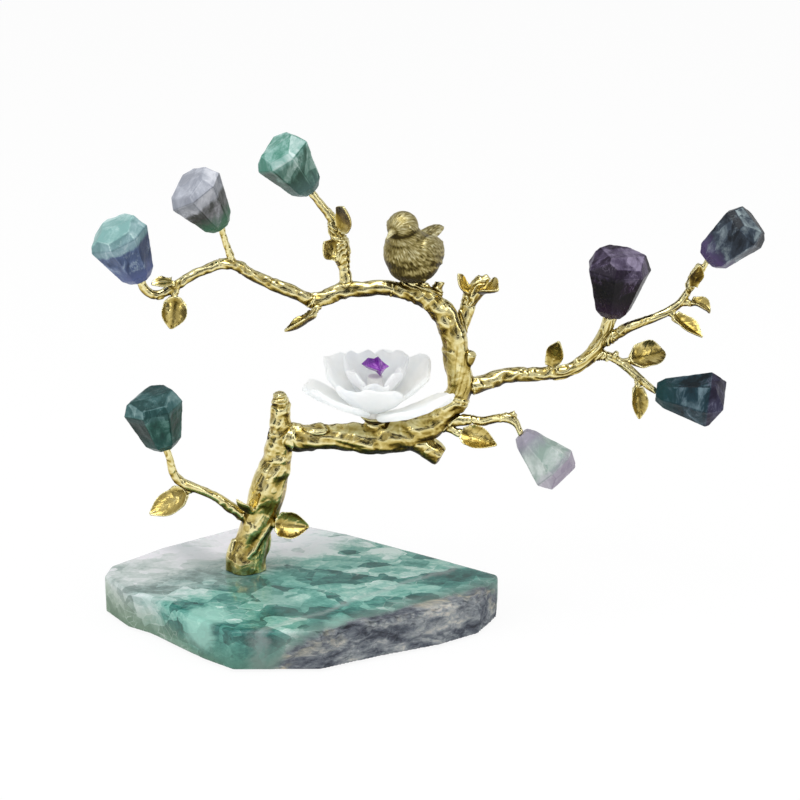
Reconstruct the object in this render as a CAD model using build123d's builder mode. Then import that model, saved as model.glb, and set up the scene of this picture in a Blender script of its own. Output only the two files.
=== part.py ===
from build123d import *
import math
import os

# Gemstone tree ornament: a cast brass tree on a fluorite slab, with eight cut stones on its twigs,
# a carved white flower on its bough and a small bird on its upper arm.
# Millimetres. The origin is under the slab's middle, on the table; +X runs along the slab to the
# right, +Y away from the front and +Z up.
# A route is a limb's centre line. Its run, reach and rise are how far it goes along X, Y and Z, and
# its shares say how much of each is done at each station, and how far the limb has thinned from its
# root (0) to its tip (1).

# Slab, felt and holding-down screw
felt_thickness = 1.5
felt_inset = 6.0
slab_length = 221.0
slab_depth = 138.0
slab_thickness = 23.0
slab_edge_chamfer = 1.4
slab_outline_shares = [
    (-1.00, 0.02), (-0.98, 0.20), (-0.74, 0.55), (-0.37, 0.94), (-0.20, 1.00), (0.02, 0.98),
    (0.22, 0.83), (0.40, 0.65), (0.71, 0.34), (1.00, 0.04), (1.00, -0.08), (0.90, -0.38),
    (0.70, -0.58), (0.41, -0.77), (0.12, -0.99), (-0.31, -1.00), (-0.47, -0.81), (-0.75, -0.38),
    (-0.87, -0.26),
]
screw_diameter = 6.0
screw_clearance = 0.5
screw_grip = 15.0
screw_head_diameter = 10.0
screw_head_height = 6.0
screw_socket_width = 5.0
screw_socket_depth = 3.0
washer_diameter = 15.0
washer_thickness = 1.2
recess_clearance = 0.5

# Joints between castings
face_stand = 0.8
peg_share = 0.5
peg_length_share = 0.9
peg_clearance = 0.05
socket_relief = 0.4
spur_flare_share = 1.12
spur_sink_share = 0.97
stub_taper_share = 0.93
loft_span = 4
leaf_seat_diameter = 3.8
stalk_diameter = 1.8
stalk_length = 3.0
stone_peg_diameter = 1.9
stone_peg_length = 8.0
stone_peg_clearance = 0.1
overrun = 1.0

# Trunk
trunk_x = -31.4
trunk_y = 11.0
trunk_run = 20.4
trunk_rise = 106.5
trunk_foot_diameter = 22.5
trunk_tip_diameter = 9.6
trunk_shares = [
    (0.00, 0.0, 0.000, 0.00), (0.06, 0.0, 0.085, 0.16), (0.19, 0.0, 0.165, 0.31),
    (0.33, 0.0, 0.255, 0.31), (0.50, 0.0, 0.345, 0.27), (0.65, 0.0, 0.445, 0.27),
    (0.82, 0.0, 0.555, 0.37), (0.94, 0.0, 0.665, 0.54), (1.01, 0.0, 0.760, 0.65),
    (1.05, 0.0, 0.850, 0.82), (1.04, 0.0, 0.940, 0.95), (1.00, 0.0, 1.000, 1.28),
]
root_lobe_diameter = 11.0
root_lobe_tip_diameter = 3.0
root_lobe_height = 19.0
root_lobe_spread = 6.2

# Main bough, with the flower's seat, the cut knot and the fork at its end
bough_root_diameter = 15.6
bough_tip_diameter = 14.6
bough_run = 89.2
bough_reach = -4.0
bough_rise = 24.4
bough_root_way = (1.0, -0.12, -0.05)
bough_shares = [
    (0.00, 0.00, 0.00, 0.0), (0.09, 0.25, -0.03, 1.4), (0.25, 0.50, 0.04, 1.8),
    (0.38, 0.75, 0.02, -1.4), (0.50, 0.88, 0.03, -2.4), (0.70, 1.00, 0.15, -2.0),
    (0.84, 1.00, 0.42, -0.2), (0.93, 0.95, 0.74, 0.6), (1.00, 0.88, 1.00, 1.0),
]
bough_end_way = (0.45, 0.03, 0.89)
flower_seat_diameter = 12.0
knot_length = 22.5
knot_root_diameter = 14.0
knot_end_diameter = 11.0
knot_way = (0.80, -0.10, -0.56)

# Upright limb, with the bird's perch and two cut stubs
upright_run = -35.7
upright_reach = 1.5
upright_rise = 63.2
upright_tip_diameter = 8.6
upright_shares = [
    (0.00, 0.00, 0.00, 0.00), (-0.05, 0.33, 0.10, 0.05), (-0.04, 0.33, 0.22, 0.00),
    (0.00, 0.33, 0.34, 0.00), (0.03, 0.33, 0.48, 0.05), (0.08, 0.33, 0.62, 0.15),
    (0.19, 0.50, 0.75, 0.27), (0.35, 1.00, 0.86, 0.40), (0.52, 1.00, 0.93, 0.55),
    (0.69, 1.00, 0.96, 0.72), (1.00, 1.00, 1.00, 1.00),
]
perch_diameter = 7.4
cut_stub_length = 16.5
cut_stub_diameter = 6.6
cut_stub_way = (0.42, -0.30, 0.86)
back_stub_length = 12.5
back_stub_diameter = 6.6
back_stub_way = (0.22, 0.30, 0.93)

# Arm over the flower
arch_run = -43.1
arch_reach = -3.0
arch_rise = -5.9
arch_tip_diameter = 8.6
arch_shares = [
    (0.00, 0.00, 0.00, 0.0), (0.15, 0.00, -0.08, -0.5), (0.34, 0.00, 0.02, -1.0),
    (0.56, 0.00, 0.12, -1.0), (0.72, 0.33, 0.48, -1.2), (0.86, 0.67, 0.86, -0.9),
    (1.00, 1.00, 1.00, 1.0),
]
outer_arch_run = -49.5
outer_arch_reach = -6.0
outer_arch_rise = 22.5
outer_arch_tip_diameter = 5.8
outer_arch_shares = [
    (0.00, 0.00, 0.00, 0.00), (0.16, 0.17, 0.19, 0.40), (0.40, 0.33, 0.44, 0.55),
    (0.61, 0.50, 0.66, 0.70), (0.74, 0.67, 0.87, 0.75), (0.85, 0.83, 1.00, 0.80),
    (1.00, 1.00, 1.00, 1.00),
]
left_twig_run = -40.4
left_twig_reach = -9.0
left_twig_drop = -14.2
left_twig_tip_diameter = 5.0
left_twig_shares = [
    (0.00, 0.00, 0.00, 0.0), (0.12, 0.11, 0.13, 0.4), (0.36, 0.33, 0.40, 0.8),
    (0.55, 0.50, 0.73, 0.4), (0.71, 0.67, 0.97, 0.8), (0.85, 0.83, 1.00, 0.9),
    (0.96, 0.94, 0.74, 1.0), (1.00, 1.00, 0.37, 1.0),
]
upper_stem_root_diameter = 4.4
upper_stem_tip_diameter = 3.6
upper_stem_run = -4.3
upper_stem_reach = -2.4
upper_stem_rise = 16.8
upper_stem_shares = [
    (0.00, 0.00, 0.00, 0.0), (0.45, 0.25, 0.38, 0.7), (0.78, 0.60, 0.70, 0.9),
    (1.00, 1.00, 1.00, 1.0),
]
top_twig_root_diameter = 6.6
top_twig_tip_diameter = 4.2
top_twig_run = -18.6
top_twig_reach = 4.4
top_twig_rise = 48.7
top_twig_shares = [
    (0.00, 0.00, 0.00, 0.0), (0.06, 0.32, 0.18, 0.1), (0.13, 0.55, 0.34, 0.2),
    (0.20, 0.77, 0.49, 0.2), (0.32, 0.85, 0.64, 0.3), (0.56, 1.00, 0.78, 0.7),
    (0.81, 1.00, 0.90, 0.9), (1.00, 1.00, 1.00, 1.0),
]

# Low twig on the left of the trunk
low_twig_root_diameter = 7.2
low_twig_tip_diameter = 4.4
low_twig_run = -39.2
low_twig_reach = -13.8
low_twig_rise = 46.7
low_twig_shares = [
    (0.00, 0.00, 0.00, 0.0), (0.23, 0.20, 0.19, 0.5), (0.43, 0.42, 0.33, 0.8),
    (0.63, 0.64, 0.43, 0.7), (0.80, 0.78, 0.52, 0.6), (0.90, 0.86, 0.65, 0.8),
    (0.94, 0.93, 0.82, 1.0), (1.00, 1.00, 1.00, 1.0),
]

# Bud twig on the upright limb
bud_twig_root_diameter = 8.0
bud_twig_tip_diameter = 4.0
bud_twig_run = 11.5
bud_twig_reach = 2.0
bud_twig_rise = 15.7
bud_twig_shares = [
    (0.00, 0.00, 0.00, 0.0), (0.24, 0.50, 0.29, 0.2), (0.44, 1.00, 0.56, 0.5),
    (0.72, 1.00, 0.82, 0.7), (1.00, 1.00, 1.00, 1.0),
]

# Long limb to the right and its twigs
right_limb_root_diameter = 9.8
right_limb_tip_diameter = 8.0
right_limb_run = 73.6
right_limb_reach = 10.8
right_limb_rise = 36.6
right_limb_shares = [
    (0.00, 0.00, 0.00, 0.0), (0.12, 0.26, 0.05, 0.4), (0.25, 0.44, 0.11, 0.6),
    (0.40, 0.63, 0.10, 1.1), (0.55, 0.81, 0.11, 1.2), (0.73, 1.00, 0.16, 1.3),
    (0.84, 1.00, 0.34, 1.2), (0.92, 1.00, 0.56, 1.3), (0.97, 1.00, 0.79, 1.2),
    (1.00, 1.00, 1.00, 1.0),
]
upper_twig_root_diameter = 6.0
upper_twig_tip_diameter = 3.0
upper_twig_run = 45.7
upper_twig_reach = -6.7
upper_twig_rise = 45.0
upper_twig_shares = [
    (0.00, 0.00, 0.00, 0.0), (0.20, 0.80, 0.17, 0.2), (0.37, 1.05, 0.25, 0.3),
    (0.57, 1.05, 0.35, 0.4), (0.71, 1.00, 0.46, 0.5), (0.79, 1.00, 0.60, 0.7),
    (0.88, 1.00, 0.76, 1.0), (0.96, 1.00, 0.90, 1.0), (1.00, 1.00, 1.00, 1.0),
]
lower_twig_root_diameter = 5.2
lower_twig_tip_diameter = 3.8
lower_twig_run = 26.6
lower_twig_reach = -8.1
lower_twig_drop = -18.0
lower_twig_shares = [
    (0.00, 0.00, 0.00, 0.0), (0.28, 0.26, 0.20, 0.3), (0.59, 0.63, 0.54, 0.4),
    (0.83, 0.88, 0.83, 0.8), (1.00, 1.00, 1.00, 1.0),
]

# Twig at the bough's end, right of the knot
end_twig_root_diameter = 5.6
end_twig_tip_diameter = 3.8
end_twig_run = 26.3
end_twig_reach = -11.1
end_twig_drop = -4.2
end_twig_shares = [
    (0.00, 0.00, 0.00, 0.0), (0.32, 0.37, -0.25, 0.4), (0.58, 0.62, -0.80, 0.5),
    (0.79, 0.80, -0.72, 0.7), (0.93, 0.91, -0.05, 1.0), (1.00, 1.00, 1.00, 1.0),
]
blunt_end_length = 9.0
blunt_end_diameter = 4.6
blunt_end_way = (0.85, -0.20, 0.35)

# Leaves: length, width, and how far each curls, in degrees
leaf_thickness = 1.3
leaf_root_thickness = 2.2
leaf_dish_share = 0.20
leaf_root_share = 0.87
blade_edge_share = 0.6
blade_lift_share = 0.25
leaf_section_shares = [
    (0.00, 0.20), (0.16, 0.55), (0.38, 0.96), (0.60, 0.94), (0.80, 0.60), (0.94, 0.26), (1.00, 0.10),
]
bark_leaf_length = 19.0
bark_leaf_width = 15.0
bud_flake_length = 16.0
bud_flake_width = 7.5
low_leaf_length = 24.0
low_leaf_width = 15.0
hanging_leaf_length = 17.5
hanging_leaf_width = 14.0
bract_length = 12.0
bract_width = 7.0
arch_leaf_length = 22.0
arch_leaf_width = 10.0
curled_leaf_length = 23.0
curled_leaf_width = 14.0
pointed_leaf_length = 14.0
pointed_leaf_width = 12.0
narrow_leaf_length = 14.0
narrow_leaf_width = 9.0
broad_leaf_length = 15.0
broad_leaf_width = 14.0
limb_leaf_length = 18.5
limb_leaf_width = 10.5
blade_leaf_length = 15.0
blade_leaf_width = 8.0
small_curl_length = 12.0
small_curl_width = 9.0
down_leaf_length = 20.0
down_leaf_width = 9.5
large_leaf_length = 23.0
large_leaf_width = 15.0
lower_leaf_length = 18.0
lower_leaf_width = 9.5
cupped_leaf_length = 22.0
cupped_leaf_width = 13.0
cupped_leaf_stalk = 6.0

# Stones: length, width at the twig, width at the waist and width of the outer face
far_left_stone = (34.5, 18.5, 32.5, 25.5)
upper_left_stone = (32.5, 17.5, 31.5, 23.0)
top_stone = (33.0, 18.5, 31.0, 22.0)
low_left_stone = (33.0, 20.0, 32.5, 25.0)
dark_purple_stone = (36.5, 20.5, 36.0, 28.0)
upper_right_stone = (33.0, 20.0, 28.0, 21.0)
teal_right_stone = (37.5, 17.5, 32.0, 23.0)
pale_stone = (33.5, 15.0, 28.5, 20.0)
far_left_stone_way = (-0.40, -0.10, 0.91)
upper_left_stone_way = (-0.53, -0.14, 0.84)
top_stone_way = (-0.56, -0.12, 0.82)
low_left_stone_way = (-0.22, -0.08, 0.97)
dark_purple_stone_way = (0.10, -0.06, 0.99)
upper_right_stone_way = (0.71, -0.05, 0.70)
teal_right_stone_way = (0.98, -0.15, -0.08)
pale_stone_way = (0.70, -0.18, -0.69)
stone_foot_share = 0.62
stone_station_shares = (0.12, 0.77)
stone_corner_shares = [
    (0, 1.00), (47, 0.94), (98, 1.03), (152, 0.95), (205, 1.00), (257, 1.04), (309, 0.93),
]
stone_slice_share = 0.92
stone_slice_reach_share = 0.42

# Flower
cup_height = 3.0
cup_diameter = 17.0
core_foot_diameter = 13.0
core_top_diameter = 8.0
core_height = 23.0
core_seat_gap = 0.3
petal_thickness = 2.2
petal_root_width = 7.0
petal_section_shares = [
    (0.00, 0.00), (0.16, 0.42), (0.38, 0.82), (0.62, 1.00), (0.80, 0.93), (0.93, 0.62), (1.00, 0.30),
]
low_tier_height = 2.2
left_petal_length = 42.0
left_petal_width = 36.0
low_right_petal_length = 45.0
low_right_petal_width = 36.0
back_petal_length = 37.0
back_petal_width = 32.0
mid_tier_height = 6.0
front_petal_length = 27.0
front_petal_width = 28.0
right_petal_length = 36.0
right_petal_width = 30.0
back_left_petal_length = 34.0
back_left_petal_width = 29.0
high_tier_height = 10.5
rear_petal_length = 26.5
rear_petal_width = 18.5
inner_tier_height = 15.5
inner_petal_length = 17.0
inner_front_petal_length = 15.0
inner_petal_width = 12.0
heart_height = 12.0
heart_foot_width = 8.0
heart_waist_width = 16.0
heart_tip_width = 7.0

# Bird
bird_heading = -127.0
oval_angles = (-80, -48, -16, 16, 48, 80)
body_length = 36.0
body_width = 30.5
body_pitch = 24.0
head_diameter = 17.6
head_forward = 8.6
head_height = 34.0
beak_length = 6.5
beak_diameter = 5.4
beak_tip_diameter = 0.9
beak_pitch = -18.0
wing_length = 27.0
wing_width = 12.6
wing_out = 10.4
wing_back = 3.6
wing_height = 18.5
wing_pitch = 28.0
tail_length = 11.0
tail_root_width = 11.0
tail_tip_width = 9.0
tail_thickness = 3.4
tail_back = 10.5
tail_height = 21.0
tail_pitch = 42.0
bird_pin_diameter = 2.4
bird_pin_length = 9.0

os.makedirs("parts", exist_ok=True)


def plane_across(point, way, side=Vector(0, 1, 0)):
    """The plane square to a way, with its X axis turned as near to a side as it goes."""
    x_dir = side - way * side.dot(way)
    return Plane(origin=point, x_dir=x_dir, z_dir=way)


class Seat:
    """A flat face, square to a way, on which another piece butts and is pegged."""

    def __init__(self, centre, way, diameter, root=None, flare=0.0):
        self.centre = centre
        self.way = way
        self.diameter = diameter
        self.plane = plane_across(centre, way)
        self.root = root
        self.flare = flare
        self.peg_diameter = diameter * peg_share
        self.peg_length = diameter * peg_length_share


class Route:
    """A limb's centre line: its points, the way it runs at each, and its radius there."""

    def __init__(self, seat, run, reach, rise, shares, tip_diameter, end_way=None):
        thinning = tip_diameter - seat.diameter
        self.points = [seat.centre + Vector(run * x, reach * y, rise * z) for x, y, z, _ in shares]
        self.radii = [(seat.diameter + thinning * girth) / 2 for _, _, _, girth in shares]
        before = [self.points[0]] + self.points[:-1]
        after = self.points[1:] + [self.points[-1]]
        self.ways = [(b - a).normalized() for a, b in zip(before, after)]
        self.ways[0] = seat.way
        if end_way is not None:
            self.ways[-1] = Vector(*end_way).normalized()

    def end_seat(self):
        """The flat face at the limb's far end."""
        return Seat(self.points[-1], self.ways[-1], 2 * self.radii[-1])

    def spur_seat(self, station, way, diameter):
        """The flat face of a short spur that leaves the limb at a station and clears its side."""
        root = self.points[station]
        way = Vector(*way).normalized()
        lean = abs(way.dot(self.ways[station]))
        square = math.sqrt(1 - lean**2)
        length = (self.radii[station] + face_stand + diameter / 2 * lean) / square
        flare = min(diameter / 2 * spur_flare_share, self.radii[station] * spur_sink_share)
        return Seat(root + way * length, way, diameter, root, flare)


def finish(piece, name):
    """Name a finished piece and write it out."""
    piece.part.label = name
    export_step(piece.part, f"parts/{name}.step")


def cast_limb(route, seat, spurs=(), ends=(), stubs=(), stone_end=False):
    """A limb: lofted along its route, with its peg, spurs, cut stubs and drilled sockets."""
    stations = list(zip(route.points, route.ways, route.radii))
    with BuildPart() as limb:
        for first in range(0, len(stations) - 1, loft_span):
            for point, way, radius in stations[first:first + loft_span + 1]:
                with BuildSketch(plane_across(point, way)):
                    Circle(radius)
            loft()
        for spur in spurs:
            length = (spur.centre - spur.root).length
            with Locations(plane_across(spur.root, spur.way)):
                Cone(spur.flare, spur.diameter / 2, length, align=(Align.CENTER, Align.CENTER, Align.MIN))
        for root, way, length, root_diameter, end_diameter in stubs:
            with Locations(plane_across(root, Vector(*way).normalized())):
                Cone(root_diameter / 2, end_diameter / 2, length,
                     align=(Align.CENTER, Align.CENTER, Align.MIN))
        for end in list(spurs) + list(ends):
            peg_diameter, peg_length = end.peg_diameter, end.peg_length
            with Locations(end.plane.offset(overrun)):
                Cylinder(peg_diameter / 2 + peg_clearance, peg_length + socket_relief + overrun,
                         align=(Align.CENTER, Align.CENTER, Align.MAX), mode=Mode.SUBTRACT)
        if seat is not None:
            with Locations(seat.plane.offset(overrun)):
                Cylinder(seat.peg_diameter / 2, seat.peg_length + overrun,
                         align=(Align.CENTER, Align.CENTER, Align.MAX))
        if stone_end:
            with Locations(route.end_seat().plane.offset(-overrun)):
                Cylinder(stone_peg_diameter / 2, stone_peg_length + overrun,
                         align=(Align.CENTER, Align.CENTER, Align.MIN))
    return limb


def leaf_seat(route, station, way, extra_stalk=0):
    """The small flat face on a limb that a leaf's stalk goes into."""
    seat = route.spur_seat(station, way, leaf_seat_diameter)
    seat.centre = seat.centre + seat.way * extra_stalk
    seat.plane = plane_across(seat.centre, seat.way)
    seat.peg_diameter = stalk_diameter
    seat.peg_length = stalk_length
    return seat


def shape_blade(sections):
    """A thin blade lofted through dished sections: plane, width, dish and thickness of each."""
    with BuildPart() as blade:
        for plane, width, hollow, thickness in sections:
            edge = thickness * blade_edge_share
            dish = hollow + thickness * blade_lift_share
            with BuildSketch(plane):
                with BuildLine():
                    back = ThreePointArc((-width / 2, dish - edge / 2), (0, -thickness / 2),
                                         (width / 2, dish - edge / 2))
                    face = ThreePointArc((width / 2, dish + edge / 2), (0, thickness / 2),
                                         (-width / 2, dish + edge / 2))
                    Line(back @ 1, face @ 0)
                    Line(face @ 1, back @ 0)
                make_face()
        loft()
    return blade


def cast_leaf(name, seat, length, width, curl, facing):
    """A leaf that leaves its seat square and curls, by so many degrees, towards where it faces."""
    facing = Vector(*facing)
    across = facing.cross(seat.way).normalized()
    face = seat.way.cross(across)
    radius = length / math.radians(curl)
    sections = []
    for along_share, width_share in leaf_section_shares:
        turn = math.radians(curl) * along_share
        point = seat.centre + seat.way * radius * math.sin(turn) + face * radius * (1 - math.cos(turn))
        way = seat.way * math.cos(turn) + face * math.sin(turn)
        plane = Plane(origin=point, x_dir=across, z_dir=way)
        thickness = leaf_thickness + (leaf_root_thickness - leaf_thickness) * (1 - along_share) ** 4
        section_width = width * width_share
        if along_share == 0:
            section_width = leaf_seat_diameter * leaf_root_share
        sections.append((plane, section_width, section_width * leaf_dish_share, thickness))
    blade = shape_blade(sections)
    with BuildPart() as leaf:
        add(blade)
        with Locations(seat.plane.offset(-stalk_length)):
            Cylinder(stalk_diameter / 2, stalk_length + leaf_root_thickness,
                     align=(Align.CENTER, Align.CENTER, Align.MIN))
    finish(leaf, name)


def cut_stone(name, seat, sizes, spin, slices):
    """A drilled stone that stands on a twig's end: a tapered block with a sliced outer end."""
    length, root_width, waist_width, outer_width = sizes
    low_share, waist_share = stone_station_shares
    stations = [
        (0, root_width * stone_foot_share), (low_share, root_width), (waist_share, waist_width),
        (1, outer_width),
    ]
    with BuildPart() as stone:
        for along_share, width in stations:
            corners = [
                (width / 2 * reach * math.cos(math.radians(angle + spin)),
                 width / 2 * reach * math.sin(math.radians(angle + spin)))
                for angle, reach in stone_corner_shares
            ]
            with BuildSketch(seat.plane.offset(length * along_share)):
                Polygon(*corners, align=None)
        loft(ruled=True)
        for angle, tilt in slices:
            middle = seat.plane.offset(length * stone_slice_share)
            lean = math.radians(tilt)
            around = math.radians(angle)
            out = middle.x_dir * math.cos(around) + middle.y_dir * math.sin(around)
            cut_way = out * math.sin(lean) + middle.z_dir * math.cos(lean)
            cut_point = middle.origin + out * outer_width * stone_slice_reach_share
            split(bisect_by=Plane(origin=cut_point, z_dir=cut_way), keep=Keep.BOTTOM)
        with Locations(seat.plane.offset(-overrun)):
            Cylinder(stone_peg_diameter / 2 + stone_peg_clearance,
                     stone_peg_length + socket_relief + overrun,
                     align=(Align.CENTER, Align.CENTER, Align.MIN), mode=Mode.SUBTRACT)
    finish(stone, name)


# Slab: sawn outline, drilled through under the trunk and counterbored from below for the screw
slab_outline = [
    (slab_length / 2 * x, slab_depth / 2 * y) for x, y in slab_outline_shares
]
slab_top = felt_thickness + slab_thickness
recess_depth = screw_head_height + washer_thickness + recess_clearance
with BuildPart() as fluorite_slab:
    with BuildSketch(Plane.XY.offset(felt_thickness)):
        Polygon(*slab_outline, align=None)
    extrude(amount=slab_thickness)
    chamfer(fluorite_slab.faces().sort_by(Axis.Z)[-1].edges(), slab_edge_chamfer)
    with Locations(Plane(origin=(trunk_x, trunk_y, felt_thickness), z_dir=(0, 0, -1))):
        CounterBoreHole(screw_diameter / 2 + screw_clearance, washer_diameter / 2 + recess_clearance,
                        recess_depth)
finish(fluorite_slab, "fluorite_slab")

# Felt sheet glued under the slab, which covers the screw's recess
with BuildPart() as base_felt:
    with BuildSketch():
        Polygon(*slab_outline, align=None)
        offset(amount=-felt_inset, kind=Kind.INTERSECTION)
    extrude(amount=felt_thickness)
finish(base_felt, "base_felt")

# Washer and socket-head screw, up through the slab into the trunk
recess_top = felt_thickness + recess_depth
with BuildPart() as base_washer:
    with BuildSketch(Plane(origin=(trunk_x, trunk_y, recess_top))):
        Circle(washer_diameter / 2)
        Circle(screw_diameter / 2 + screw_clearance, mode=Mode.SUBTRACT)
    extrude(amount=-washer_thickness)
finish(base_washer, "base_washer")

head_top = recess_top - washer_thickness
screw_length = slab_top - head_top + screw_grip
with BuildPart() as base_bolt:
    with BuildSketch(Plane(origin=(trunk_x, trunk_y, head_top))):
        Circle(screw_head_diameter / 2)
    extrude(amount=-screw_head_height)
    with BuildSketch(Plane(origin=(trunk_x, trunk_y, head_top))):
        Circle(screw_diameter / 2)
    extrude(amount=screw_length)
    with BuildSketch(Plane(origin=(trunk_x, trunk_y, head_top - screw_head_height))):
        RegularPolygon(screw_socket_width / 2, 6, major_radius=False)
    extrude(amount=screw_socket_depth, mode=Mode.SUBTRACT)
finish(base_bolt, "base_bolt")

# Trunk: lofted up from the slab, with two root lobes and a tapped hole underneath
foot_seat = Seat(Vector(trunk_x, trunk_y, slab_top), Vector(0, 0, 1), trunk_foot_diameter)
trunk_route = Route(foot_seat, trunk_run, 0, trunk_rise, trunk_shares, trunk_tip_diameter)
bough_seat = trunk_route.spur_seat(8, bough_root_way, bough_root_diameter)
low_twig_seat = trunk_route.spur_seat(3, (-0.75, -0.25, 0.60), low_twig_root_diameter)
bark_leaf_seat = leaf_seat(trunk_route, 3, (0.92, -0.38, 0.12))
bud_flake_seat = leaf_seat(trunk_route, 4, (-0.62, -0.76, 0.20))
lobe_places = [
    foot_seat.centre + Vector(-root_lobe_spread, -root_lobe_spread / 2, 0),
    foot_seat.centre + Vector(root_lobe_spread, -root_lobe_spread / 3, 0),
]
trunk_limb = cast_limb(trunk_route, None, [bough_seat, low_twig_seat, bark_leaf_seat, bud_flake_seat])
with BuildPart() as trunk:
    add(trunk_limb)
    with Locations(*lobe_places):
        Cone(root_lobe_diameter / 2, root_lobe_tip_diameter / 2, root_lobe_height,
             align=(Align.CENTER, Align.CENTER, Align.MIN))
    with Locations(foot_seat.plane.offset(-overrun)):
        Cylinder(screw_diameter / 2 + peg_clearance, screw_grip + socket_relief + overrun,
                 align=(Align.CENTER, Align.CENTER, Align.MIN), mode=Mode.SUBTRACT)
finish(trunk, "trunk")
cast_leaf("trunk_bark_leaf", bark_leaf_seat, bark_leaf_length, bark_leaf_width, -35, (-0.3, -0.8, 0.4))
cast_leaf("trunk_bud_flake", bud_flake_seat, bud_flake_length, bud_flake_width, 66, (0, 0, 1))

# Low left twig, its leaf and its stone
low_twig_route = Route(low_twig_seat, low_twig_run, low_twig_reach, low_twig_rise, low_twig_shares,
                       low_twig_tip_diameter, low_left_stone_way)
low_leaf_seat = leaf_seat(low_twig_route, 3, (-0.80, -0.10, -0.55))
finish(cast_limb(low_twig_route, low_twig_seat, [low_leaf_seat], stone_end=True), "low_left_twig")
cast_leaf("low_left_leaf", low_leaf_seat, low_leaf_length, low_leaf_width, 18, (-0.2, -0.7, 0.7))
cut_stone("stone_low_left", low_twig_route.end_seat(), low_left_stone, 12, [(190, 24), (60, 32)])

# Main bough, with the flower's seat, the knot and the fork
bough_route = Route(bough_seat, bough_run, bough_reach, bough_rise, bough_shares, bough_tip_diameter,
                    bough_end_way)
upright_seat = bough_route.end_seat()
flower_seat = bough_route.spur_seat(4, (0, 0, 1), flower_seat_diameter)
end_twig_seat = bough_route.spur_seat(6, (0.96, -0.22, 0.17), end_twig_root_diameter)
cupped_leaf_seat = leaf_seat(bough_route, 6, (0.91, -0.36, -0.21), cupped_leaf_stalk)
knot = (bough_route.points[5], knot_way, knot_length, knot_root_diameter, knot_end_diameter)
finish(cast_limb(bough_route, bough_seat, [flower_seat, end_twig_seat, cupped_leaf_seat],
                 [upright_seat], [knot]), "main_bough")
cast_leaf("bottom_right_leaf", cupped_leaf_seat, cupped_leaf_length, cupped_leaf_width, 20,
          (0.1, -0.85, 0.5))

# Twig at the bough's end and its pale stone
end_twig_route = Route(end_twig_seat, end_twig_run, end_twig_reach, end_twig_drop, end_twig_shares,
                       end_twig_tip_diameter, pale_stone_way)
blunt_end = (end_twig_route.points[2], blunt_end_way, blunt_end_length, blunt_end_diameter,
             blunt_end_diameter * stub_taper_share)
finish(cast_limb(end_twig_route, end_twig_seat, stubs=[blunt_end], stone_end=True),
       "bottom_right_twig")
cut_stone("stone_pale", end_twig_route.end_seat(), pale_stone, 30, [(170, 30), (20, 26)])

# Upright limb, with the bird's perch and the two cut stubs
upright_route = Route(upright_seat, upright_run, upright_reach, upright_rise, upright_shares,
                      upright_tip_diameter)
arch_seat = upright_route.end_seat()
right_limb_seat = upright_route.spur_seat(1, (0.98, 0.18, 0.06), right_limb_root_diameter)
bud_twig_seat = upright_route.spur_seat(4, (0.28, 0.25, 0.93), bud_twig_root_diameter)
perch_seat = upright_route.spur_seat(9, (0, 0, 1), perch_diameter)
perch_seat.peg_diameter = bird_pin_diameter
perch_seat.peg_length = bird_pin_length / 2
cut_stub = (upright_route.points[2], cut_stub_way, cut_stub_length, cut_stub_diameter,
            cut_stub_diameter * stub_taper_share)
back_stub = (upright_route.points[7], back_stub_way, back_stub_length, back_stub_diameter,
             back_stub_diameter * stub_taper_share)
finish(cast_limb(upright_route, upright_seat, [right_limb_seat, bud_twig_seat, perch_seat],
                 [arch_seat], [cut_stub, back_stub]), "upright_limb")

# Bud twig and its two leaves
bud_twig_route = Route(bud_twig_seat, bud_twig_run, bud_twig_reach, bud_twig_rise, bud_twig_shares,
                       bud_twig_tip_diameter)
narrow_leaf_seat = leaf_seat(bud_twig_route, 1, (-0.58, -0.30, 0.76))
broad_leaf_seat = leaf_seat(bud_twig_route, 2, (0.64, -0.76, 0.05))
finish(cast_limb(bud_twig_route, bud_twig_seat, [narrow_leaf_seat, broad_leaf_seat]), "bud_twig")
cast_leaf("bud_narrow_leaf", narrow_leaf_seat, narrow_leaf_length, narrow_leaf_width, 30, (0.6, -0.5, 0.5))
cast_leaf("bud_broad_leaf", broad_leaf_seat, broad_leaf_length, broad_leaf_width, 30, (-0.1, -0.4, 0.9))

# Right limb, its leaf and the dark stone on its end
right_limb_route = Route(right_limb_seat, right_limb_run, right_limb_reach, right_limb_rise,
                         right_limb_shares, right_limb_tip_diameter, dark_purple_stone_way)
limb_leaf_seat = leaf_seat(right_limb_route, 4, (0.22, -0.30, 0.93))
lower_twig_seat = right_limb_route.spur_seat(6, (0.96, -0.20, 0.16), lower_twig_root_diameter)
upper_twig_seat = right_limb_route.spur_seat(7, (0.74, -0.38, 0.55), upper_twig_root_diameter)
finish(cast_limb(right_limb_route, right_limb_seat, [limb_leaf_seat, lower_twig_seat, upper_twig_seat],
                 stone_end=True), "right_limb")
cast_leaf("right_limb_leaf", limb_leaf_seat, limb_leaf_length, limb_leaf_width, 12, (-0.3, -0.9, 0.2))
cut_stone("stone_dark_purple", right_limb_route.end_seat(), dark_purple_stone, 20, [(110, 36), (200, 24)])

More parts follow.
